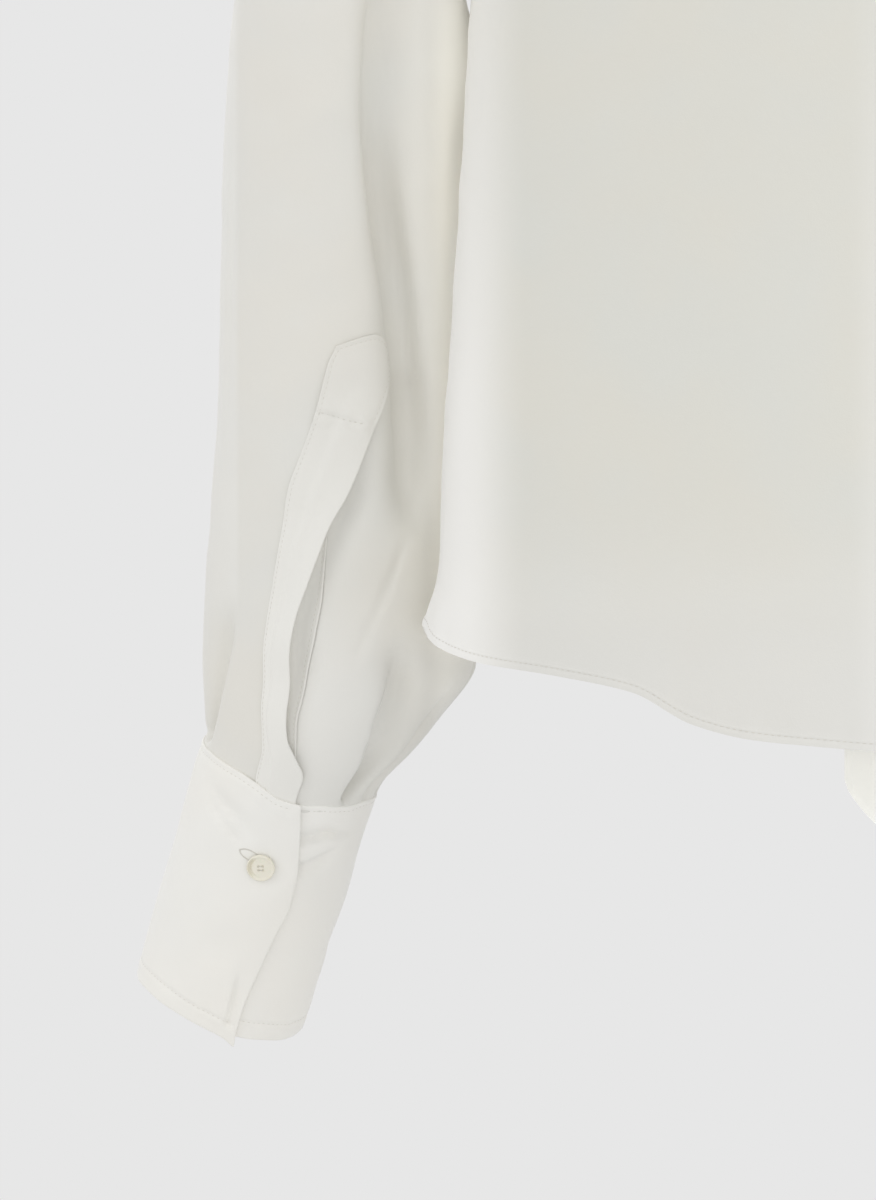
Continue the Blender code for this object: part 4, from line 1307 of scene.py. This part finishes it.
CUFF_CLOTH = 0.0013
CUFF_HEM = 0.0073
CUFF_TOP_LINE = 0.0020
BUTTON_ALONG = 0.0283
BUTTON_ANGLE = 360.0
BUTTON_DISH = 0.0008
BUTTON_CALM = 0.010
OVERLAP_ENDS = 14.0
CUFF_STITCH = (0.0024, 0.0013, 0.00013, 3.0)
CUFF_WAVES = ((0.0005, 0.050, 81, 1.0), (0.00018, 0.018, 83, 1.0))
CUFF_PUCKER = ((0.00018, 0.009, 85, 1.0),)

# Creases of a cuff, from its own angle and distance below the top of its form.
CUFF_CREASES = (
    (((304, 0.003), (318, 0.0075), (336, 0.012), (352, 0.019)), 0.0018, 0.0052, 0.0022, 0.3, 0.3),
    (((306.5, 0.008), (322.2, 0.014), (338, 0.0195), (349, 0.024)), 0.0014, 0.004, 0.0017, 0.3, 0.3),
    (((376, 0.0185), (381, 0.019)), 0.0010, 0.0012, 0.0005, 0.4, 0.4),
    (((17, 0.0139), (32, 0.0103), (47, 0.0089), (66, 0.0097)), 0.0012, 0.0040, 0.0030, 0.05, 0.5),
    (((20, 0.0258), (37, 0.0211), (54, 0.0130)), 0.0042, 0.0014, 0.0028, 0.05, 0.5),
    (((365, 0.074), (367, 0.09), (367.8, 0.1), (368.2, 0.1065)), 0.0009, 0.0034, 0.0017, 0.5, 0.05),
    (((318, 0.0480), (338, 0.0640), (360, 0.0820)), 0.0080, 0.0080, 0.0008, 0.4, 0.4),
    (((100, 0.0110), (130, 0.0220), (170, 0.0266)), 0.0060, 0.0050, 0.0014, 0.4, 0.5),
    (((210, 0.0155), (240, 0.0333), (262, 0.0577)), 0.0070, 0.0060, 0.0014, 0.4, 0.5),
    (((140, 0.0610), (175, 0.0688), (215, 0.0666)), 0.0080, 0.0070, 0.0012, 0.4, 0.4),
    (((66, 0.0560), (84, 0.0640), (104, 0.0880)), 0.0060, 0.0070, 0.0010, 0.4, 0.4),
)


def cuff_surface(angle, along, hand):
    """Points and normals of the dressed cuff."""
    angle, along = np.broadcast_arrays(np.asarray(angle, float), np.asarray(along, float))
    lift = CUFF_LIFT * ease((angle - CUFF_LIFT_BEGINS) / CUFF_LIFT_TURN)
    points = cuff_form(angle, along, lift)
    normals = cuff_normal(angle, along, lift)
    over = np.where(angle < OVERLAP_ENDS, angle + 360.0, angle)
    per_degree = math.radians(1.0) * CUFF_RADIUS
    from_button = np.hypot((over - BUTTON_ANGLE) * per_degree, along - BUTTON_ALONG)
    own, above = (
        round_creases(turn, along, CUFF_CREASES, CUFF_RADIUS, 90, wraps=False)
        for turn in (angle, over)
    )
    depth = own + np.where(angle < OVERLAP_ENDS, above, 0.0)
    depth = depth * ease((from_button - 0.006) / 0.006)
    depth = depth + BUTTON_DISH * bell(from_button / BUTTON_CALM)
    if hand == RIGHT:
        points, normals = mirrored(points), mirrored(normals)
    depth = depth - waves(points, CUFF_WAVES, hand) * (1.0 - bell(from_button / BUTTON_CALM, 4))
    from_top = along - read(CUFF_TOP_EDGE, "along", angle)
    from_bottom = read(CUFF_BOTTOM_EDGE, "along", angle) - along
    pucker = bell((from_bottom - 0.006) / 0.005) + bell((from_top - 0.003) / 0.004)
    depth = depth - waves(points, CUFF_PUCKER, hand) * pucker
    depth = depth * ease((from_top + 0.001) / 0.004)
    depth = depth + 0.00045 * bell((from_bottom - CUFF_HEM) / 0.0009)
    depth = depth + 0.00030 * bell((from_top - CUFF_TOP_LINE) / 0.0008)
    return points - normals * depth[..., None], normals


def cuff_place(share, down):
    """The angle and distance along of the cuff's grid: share runs once round it and down is
    0 on its top edge and 1 on its bottom edge."""
    first, last = CUFF_FREE_EDGE["along"][[0, -1]]
    end = 360.0 + read(CUFF_FREE_EDGE, "angle", first + (last - first) * down)
    angle = CUFF_UNDER_END + (end - CUFF_UNDER_END) * share
    top = read(CUFF_TOP_EDGE, "along", angle)
    return angle, top + (read(CUFF_BOTTOM_EDGE, "along", angle) - top) * down


def cuff(hand, side):
    """The cuff, a band that goes once round the wrist and laps over its start."""
    down = spaced((0.0, 0.06, 10), (0.068, 0.905, 52), (0.912, 1.0, 14))
    share = spaced((0.0, 0.96, 184), (0.9635, 1.0, 16))
    points, normals = cuff_surface(*cuff_place(share[None, :], down[:, None]), hand)
    band, _ = cloth(f"cuff_band_{side}", points, normals, CUFF_CLOTH, "tblr", cuff_silk)
    span = np.linspace(0.06, 0.985, 300)
    lines = []
    for edge, inset in ((0.0, CUFF_TOP_LINE), (1.0, -CUFF_HEM)):
        angle, along = cuff_place(span, np.full(300, edge))
        line, up = cuff_surface(angle, along + inset, hand)
        lines.append((line + up * 0.00003, up, CUFF_STITCH))
    return band, lines


# ---------------------------------------------------------------- buttons

BUTTON_HOLE_AT = 0.00125
BUTTON_HOLE_RADIUS = 0.00060
BUTTON_HOLE_DEPTH = 0.0005
BUTTON_THREAD_APART = 0.00012
BUTTON_STITCH = (0.0009, 0.0012, 0.00011, 0.0)
BUTTON = table(
    "radius  height",
    (0.0000, 0.00185),
    (0.0040, 0.00190),
    (0.0046, 0.00198),
    (0.0051, 0.00222),
    (0.0055, 0.00232),
    (0.0058, 0.00222),
    (0.00610, 0.00180),
)
BUTTON_UNDERSIDE = ((0.00615, 0.0014), (0.00595, 0.0008), (0.0048, 0.00036))
BUTTON_SIDES = 128
# The groove inside the rim, deepest on one side, where the rim's shadow falls.
GROOVE_RADIUS = 0.00480
GROOVE_HALF_WIDTH = 0.00075
GROOVE_DEPTH = 0.0014
GROOVE_TURN = math.radians(4.0)


def button_axes(hand):
    """Where the button sits, and its upward, level and outward directions."""
    place, normal = cuff_surface(np.array([BUTTON_ANGLE]), np.array([BUTTON_ALONG]), hand)
    level = hand * unit(np.cross(normal[0], UP))
    upward = unit(np.cross(level, normal[0]))
    upward = upward if upward[2] > 0.0 else -upward
    return place[0], upward, level, normal[0]


def button(hand, side):
    """A four-hole pearl button with a raised rim, sewn on with crossing threads."""
    seat, upward, level, normal = button_axes(hand)
    radii = spaced((0.0, 0.0024, 22), (0.0026, 0.0061, 34))
    turns = np.arange(BUTTON_SIDES) * 2.0 * math.pi / BUTTON_SIDES
    r, a = np.meshgrid(radii[1:], turns, indexing="ij")
    p, q = r * np.cos(a), r * np.sin(a)
    height = read(BUTTON, "height", r)
    deep_side = ease((np.cos(a - GROOVE_TURN) - 0.30) / 0.60)
    groove = bell((r - GROOVE_RADIUS) / GROOVE_HALF_WIDTH, 4)
    height = height - GROOVE_DEPTH * deep_side * groove
    for k in range(4):
        turn = math.radians(45 + 90 * k)
        away = np.hypot(p - BUTTON_HOLE_AT * math.cos(turn), q - BUTTON_HOLE_AT * math.sin(turn))
        height = height - BUTTON_HOLE_DEPTH * ease((BUTTON_HOLE_RADIUS - away) / 0.00020)
    rings = [stack(p, q, height)]
    for radius, level_up in BUTTON_UNDERSIDE:
        rings.append(stack(radius * np.cos(turns), radius * np.sin(turns), level_up)[None])
    rings = np.concatenate(rings)
    top, foot = ([[0.0, 0.0, z]] for z in (BUTTON["height"][0], BUTTON_UNDERSIDE[-1][1]))
    local = np.concatenate([top, rings.reshape(-1, 3), foot])
    world = seat + local[:, :1] * level + local[:, 1:2] * upward + local[:, 2:] * normal
    faces = [(face[0], *face[:0:-1]) for face in capped_faces(len(rings), BUTTON_SIDES)]
    if np.dot(np.cross(level, upward), normal) < 0.0:
        faces = [face[::-1] for face in faces]
    made = add_mesh(f"pearl_button_{side}", world, faces, pearl, sharp=40.0)
    at = BUTTON_HOLE_AT / math.sqrt(2.0)
    run = np.linspace(-at, at, 9)
    rise = BUTTON["height"][0] - 0.0002 + 0.0004 * np.cos(run / at * math.pi / 2.0)
    over_holes = seat + run[:, None] * level + rise[:, None] * normal
    lines = []
    for offset in (-at, at):
        for aside in (-BUTTON_THREAD_APART, BUTTON_THREAD_APART):
            line = over_holes + upward * (offset + aside)
            lines.append((line, np.tile(normal, (9, 1)), BUTTON_STITCH))
    return made, lines


# The buttonhole's two edges, from its pointed end to where the button covers it.
BUTTONHOLE_EDGES = (
    ((344.0, 0.0241), (347.5, 0.0228), (351.5, 0.0226), (356.0, 0.0233)),
    ((344.0, 0.0241), (345.6, 0.0256), (348.6, 0.0266), (352.5, 0.0272)),
)
BUTTONHOLE_STITCH = (0.00045, 0.0009, 0.00016, 62.0)


def buttonhole(hand):
    """The stitched edges of the buttonhole that show beside the button."""
    lines = []
    for path in BUTTONHOLE_EDGES:
        line, up = cuff_surface(*smooth_path(path, 30).T, hand)
        lines.append((line + up * 0.00004, up, BUTTONHOLE_STITCH))
    return lines


# ---------------------------------------------------------------- sleeves, both sides

SIDES = (("left", LEFT), ("right", RIGHT))
sleeves, strips, laps, bands, buttons, threads = {}, {}, {}, {}, {}, {}
for side, hand in SIDES:
    sleeves[side] = sleeve(hand, f"silk_sleeve_{side}")
    strips[side], placket_lines = placket(hand, side)
    laps[side], underlap_lines = underlap(hand, side)
    bands[side], cuff_lines = cuff(hand, side)
    buttons[side], button_lines = button(hand, side)
    sewing = placket_lines + underlap_lines + cuff_lines + button_lines + buttonhole(hand)
    threads[side] = thread_mesh(f"sleeve_stitches_{side}", sewing, thread_silk)

hem_stitches = thread_mesh("hem_stitches", [back_hem, front_hem], thread_silk)


# ---------------------------------------------------------------- neck band

BAND_WIDTH = 0.025
BAND_LEAN = 4.5
BAND_END_WIDTH = 0.006
BAND_WIDENING = 0.075
BAND_START = 0.62
BAND_FLAT_BELOW = -0.11
BAND_UPRIGHT_ABOVE = -0.02
BAND_CLOTH = 0.0016
BAND_RUN_IN = 0.035
BAND_RUN_OUT = 0.011
BAND_BULGE = 0.0011
BAND_PLEATS = 2.5
BAND_WAVES = ((0.0006, 0.030, 101, 1.0), (0.00045, 0.014, 103, 1.0))
CAD_PANEL_COLUMNS = 24


def neckline():
    """The neck opening's edge from near the foot of the V, up the left side, round the back
    and down the right side, with 1 for its points on the back and 0 on the front."""
    foot = 0.5
    first = (CAD_PANEL_COLUMNS // 2 - 1) / CAD_PANEL_COLUMNS
    start = first + (foot - first) * BAND_START
    left = panel_point(FRONT, np.linspace(start, 0.0, 90), NECK_POINT)
    back = panel_point(BACK, np.linspace(0.0, 1.0, 90), NECK_POINT)
    right = panel_point(FRONT, np.linspace(1.0, 1.0 - start, 90), NECK_POINT)
    line = np.concatenate([left, back[1:], right[1:]])
    behind = np.concatenate([np.zeros(90), np.ones(88), np.zeros(90)])
    return line, behind


def soften(values, times):
    """The values along a line, evened out."""
    for _ in range(times):
        middle = (values[:-2] + 2.0 * values[1:-1] + values[2:]) / 4.0
        values = np.concatenate([values[:1], middle, values[-1:]])
    return values


def neck_band():
    """The folded band round the neck, which narrows and turns forward into the knot."""
    both = evenly(np.column_stack(neckline()), 280)
    line, behind = both[:, :3], both[:, 3] > 0.5
    along = unit(soften(np.gradient(line, axis=0), 8))
    outward = np.where(behind[:, None], body_normal(BACK, line), body_normal(FRONT, line))
    flat = unit(np.cross(along, outward))
    flat = np.where(flat[:, 2:] > 0.0, flat, -flat)
    upright = unit(stack(-BAND_LEAN * line[:, 0], -BAND_LEAN * line[:, 1], np.ones(len(line))))
    stand = ease((line[:, 2] - BAND_FLAT_BELOW) / (BAND_UPRIGHT_ABOVE - BAND_FLAT_BELOW))[:, None]
    rise = flat * (1.0 - stand) + upright * stand
    rise = unit(rise - along * np.sum(rise * along, axis=1, keepdims=True))
    rise = unit(soften(rise, 30))
    normal = unit(np.cross(along, rise))
    normal = np.where(np.sum(normal * outward, axis=1, keepdims=True) > 0.0, normal, -normal)
    normal = unit(soften(normal, 30))
    from_foot = np.linalg.norm((line - [0.0, 0.0, -FRONT_V_DIP]) * [1.0, 0.0, 1.0], axis=1)
    width = BAND_END_WIDTH + (BAND_WIDTH - BAND_END_WIDTH) * ease(from_foot / BAND_WIDENING)
    width = soften(width, 6)
    top = soften(line + rise * width[:, None], 60)
    shares = np.linspace(0.0, 1.0, 20)[:, None]
    points = line[None] + (top - line)[None] * shares[..., None]
    crown = np.sin(math.pi * shares)
    out = 0.0004 + BAND_BULGE * crown**0.7 + waves(points, BAND_WAVES) * crown**0.5
    out = out - 0.0004 * bell(shares * width[None] / 0.0012)
    near_knot = ease((0.07 - from_foot) / 0.05)[None]
    out = out + 0.0009 * np.cos(shares * 2.0 * math.pi * BAND_PLEATS) * near_knot
    points = points + normal[None] * out[..., None]
    run_in = ease((BAND_RUN_IN - from_foot) / 0.030)[None] * (0.35 + 0.65 * shares)
    points = points + np.array([0.0, -BAND_RUN_OUT, 0.0]) * run_in[..., None]
    outward = np.broadcast_to(normal[None], points.shape)
    return cloth("silk_neck_band", points, outward, BAND_CLOTH, "b", trim_silk)[0]


silk_band = neck_band()


# ---------------------------------------------------------------- tie

KNOT_HALF = np.array([0.026, 0.014, 0.019])
KNOT_HEIGHT = -0.187
KNOT_GAP = 0.0007
KNOT_SQUARENESS = 0.85
KNOT_WAVES = ((0.0003, 0.010, 111, 1.0),)
TAIL_EDGE = 0.0590
TAIL_WIDTH = 0.066
TAIL_TOP_WIDTH = 0.034
TAIL_FLARE = 0.14
TAIL_STAND_OFF = 0.010
TAIL_SETTLE = 0.06
TAIL_LENGTH = 0.49
TAIL_PLEATS = 3
TAIL_PLEAT_DEPTH = 0.0016
TAIL_PLEAT_FADE = 0.6
TAIL_CLOTH = 0.0010
TAIL_HEM = 0.0032
TAIL_HEM_STEP = 0.00035
TAIL_WAVES = ((0.0026, 0.050, 121, 0.12), (0.0010, 0.030, 123, 0.35), (0.0003, 0.014, 125, 0.5))
TAIL_STITCH = (0.0024, 0.0018, 0.00013, 3.0)
TAILS = table(
    "hand  across  raised  in_front  below_knot",
    (RIGHT, 0.014, 0.028, 0.0060, -0.0001),
    (LEFT, 0.000, 0.000, 0.0000, 0.0003),
)
TAIL_END = table(
    "inward  height",
    (0.0000, -0.6360),
    (0.0012, -0.6400),
    (0.0040, -0.6445),
    (0.0080, -0.6495),
    (0.0140, -0.6553),
    (0.0660, -0.6980),
)


def knot_centre():
    """The middle of the knot, in front of the V's foot."""
    out = float(read(BODY, "front_depth", KNOT_HEIGHT)) + KNOT_GAP
    return np.array([0.0, -out - KNOT_HALF[1], KNOT_HEIGHT])


def knot():
    """The knot: wound cloth with pleats that run into it from both sides."""
    rise = np.linspace(-math.pi / 2, math.pi / 2, 92)[1:-1, None]
    turn = np.linspace(0.0, 2.0 * math.pi, 150, endpoint=False)[None, :]
    full = stack(np.cos(rise) * np.cos(turn), np.cos(rise) * np.sin(turn), np.sin(rise))
    full = np.sign(full) * np.abs(full) ** KNOT_SQUARENESS
    points = full * KNOT_HALF
    normals = unit(full / KNOT_HALF)
    x, z = points[..., 0] / KNOT_HALF[0], points[..., 2] / KNOT_HALF[2]
    from_pole = 1.0 - np.abs(z)
    pinch = 0.0030 * bell((np.abs(x) - 0.78) / 0.15) * ease(from_pole / 0.5)
    slant = z + 0.36 * x + 0.10 * np.sin(2.6 * x + 1.0)
    wound = np.cos(slant * 7.5 + 0.9 * np.sin(2.0 * x + 0.5))
    pleats = 0.0016 * np.abs(wound) ** 0.6 * np.sign(wound) + 0.0004 * np.cos(slant * 17.0)
    pleats = pleats * ease(from_pole / 0.4) * ease((1.0 - np.abs(x)) / 0.15)
    depth = pinch + 0.8 * pleats + waves(points, KNOT_WAVES)
    points = points - normals * depth[..., None]
    pole = [0.0, 0.0, KNOT_HALF[2]]
    world = np.concatenate([[np.negative(pole)], points.reshape(-1, 3), [pole]]) + knot_centre()
    return add_mesh("silk_knot", world, capped_faces(*points.shape[:2]), trim_silk, sharp=0.0)


def tail_form(across, down, raised, in_front, below_knot):
    """Points of the left tail: across runs from its outer edge, 0, to its inner edge, 1."""
    centre = knot_centre()
    end = np.interp(TAIL_WIDTH * across, TAIL_END["inward"], TAIL_END["height"]) + raised
    top = centre[2] - KNOT_HALF[2] - below_knot
    height = top + (end - top) * down
    flare = ease((top - height) / TAIL_FLARE)
    width = TAIL_TOP_WIDTH + (TAIL_WIDTH - TAIL_TOP_WIDTH) * flare
    outer = TAIL_TOP_WIDTH * 0.5 + (TAIL_EDGE - TAIL_TOP_WIDTH * 0.5) * flare
    hang = ease((top - height) / TAIL_SETTLE)
    out = -centre[1] + (read(BODY, "front_depth", UNDERARM) + TAIL_STAND_OFF + centre[1]) * hang
    pleat = TAIL_PLEAT_DEPTH * (1.0 - TAIL_PLEAT_FADE * flare)
    pleat = pleat * np.cos(2.0 * math.pi * TAIL_PLEATS * across)
    return stack(outer - width * across, -out - in_front + pleat, height)


def tail(hand, side):
    """A hemmed tail of the tie, which hangs from the knot."""
    which = list(TAILS["hand"]).index(hand)
    moved, *hang = (TAILS[name][which] for name in ("across", "raised", "in_front", "below_knot"))
    edge = np.array([0.0, 0.008, 0.020, 0.040, 0.048, 0.060])
    across = np.concatenate([edge, np.linspace(0.08, 0.92, 50), 1.0 - edge[::-1]])[None, :]
    down = spaced((0.0, 0.97, 140), (0.976, 0.988, 3), (0.990, 0.994, 3), (0.997, 1.0, 2))[:, None]
    points = tail_form(across, down, *hang)
    normals = grid_normals(points)
    normals = facing(normals, np.broadcast_to([0.0, -1.0, 0.0], normals.shape))
    flare = ease((KNOT_HEIGHT - points[..., 2]) / TAIL_FLARE)
    points[..., 0] -= moved * flare
    if hand == RIGHT:
        points, normals = mirrored(points), mirrored(normals)
    depth = waves(points, TAIL_WAVES, hand) * ease(down / 0.10)
    bunch = across * 2.0 * math.pi * 4.5 + 1.5 * down + 0.8 * np.sin(across * 5.0)
    depth = depth + 0.0016 * np.cos(bunch) * (1.0 - ease(down / 0.30)) * ease(down / 0.01)
    span = TAIL_TOP_WIDTH + (TAIL_WIDTH - TAIL_TOP_WIDTH) * flare
    from_side = np.minimum(across, 1.0 - across) * span
    from_edge = np.minimum(from_side, (1.0 - down) * TAIL_LENGTH)
    depth = depth - TAIL_HEM_STEP * ease((TAIL_HEM - from_edge) / 0.0007)
    points = points - normals * depth[..., None]
    made, fresh = cloth(f"silk_tail_{side}", points, normals, TAIL_CLOTH, "lrb", tail_silk)
    inner = slice(4, -4)
    lines = []
    for place in ((inner, 3), (inner, -4), (-5, inner)):
        lines.append((points[place] + fresh[place] * 0.00004, fresh[place], TAIL_STITCH))
    return made, lines


silk_knot = knot()
tails, tail_lines = {}, []
for side, hand in SIDES:
    tails[side], lines = tail(hand, side)
    tail_lines += lines
tie_stitches = thread_mesh("tie_stitches", tail_lines, thread_silk)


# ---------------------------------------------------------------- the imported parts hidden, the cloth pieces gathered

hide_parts("back")
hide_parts("front")
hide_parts("neck_band")
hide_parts("tie_knot")
for side in ("left", "right"):
    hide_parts(f"sleeve_{side}")
    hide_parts(f"placket_{side}")
    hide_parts(f"underlap_{side}")
    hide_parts(f"cuff_{side}")
    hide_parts(f"cuff_button_{side}")
    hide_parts(f"tie_tail_{side}")

cloths = [silk_back, silk_front, silk_band, silk_knot, hem_stitches, tie_stitches]
cloths += [piece for group in (sleeves, strips, laps, bands, tails, threads) for piece in group.values()]


# ---------------------------------------------------------------- stage, light and camera


def disc(name, radius, height, sides=96):
    """A flat round floor."""
    turns = np.arange(sides) * 2.0 * math.pi / sides
    points = stack(radius * np.cos(turns), radius * np.sin(turns), height)
    mesh = bpy.data.meshes.new(name)
    mesh.from_pydata(points.tolist(), [], [tuple(range(sides))])
    made = bpy.data.objects.new(name, mesh)
    bpy.context.scene.collection.objects.link(made)
    return made


floor = disc("studio_floor", 5.0, -1.45)
paper, _, paper_shader = new_material("studio_paper")
constants(paper_shader, Base_Color=(0.78, 0.78, 0.78, 1.0), Roughness=0.9)
floor.data.materials.append(paper)

world = bpy.data.worlds.new("studio")
world.use_nodes = True
backdrop = world.node_tree.nodes["Background"]
constants(backdrop, Color=(0.799, 0.799, 0.799, 1.0), Strength=1.0)
bpy.context.scene.world = world

BLOUSE_MIDDLE = Vector((0.15, 0.0, -0.51))


def soft_light(name, place, size, power):
    """A square soft box that faces the blouse."""
    data = bpy.data.lights.new(name, "AREA")
    data.shape = "SQUARE"
    data.size = size
    data.energy = power
    lamp = bpy.data.objects.new(name, data)
    bpy.context.scene.collection.objects.link(lamp)
    lamp.location = place
    lamp.rotation_mode = "QUATERNION"
    lamp.rotation_quaternion = (BLOUSE_MIDDLE - Vector(place)).to_track_quat("-Z", "Y")
    lamp.visible_camera = False


soft_light("box_left", (2.6, 1.6, 0.4), 1.6, 8.0)
soft_light("box_right", (-2.6, 1.6, 0.2), 1.6, 15.0)
soft_light("box_high", (0.236, 4.6, 0.9), 2.0, 8.0)
soft_light("box_level", (-0.3, 4.5, -0.55), 1.6, 11.0)
soft_light("box_side", (2.9, -0.6, -0.4), 1.6, 1.0)
soft_light("box_front", (1.4, -3.0, 0.8), 1.6, 9.0)

PHOTO_CAMERA = (0.236, 4.0, -0.5577)
PICTURE_HEIGHT = 0.504
SENSOR = 36.0
camera_data = bpy.data.cameras.new("camera")
camera_data.sensor_width = SENSOR
camera_data.lens = SENSOR * PHOTO_CAMERA[1] / PICTURE_HEIGHT
camera_data.clip_start = 0.1
camera_data.clip_end = 60.0
camera = bpy.data.objects.new("camera", camera_data)
bpy.context.scene.collection.objects.link(camera)
camera.location = PHOTO_CAMERA
camera.rotation_euler = (math.radians(90.0), 0.0, math.radians(180.0))
bpy.context.scene.camera = camera
bpy.context.scene.view_settings.view_transform = "Standard"
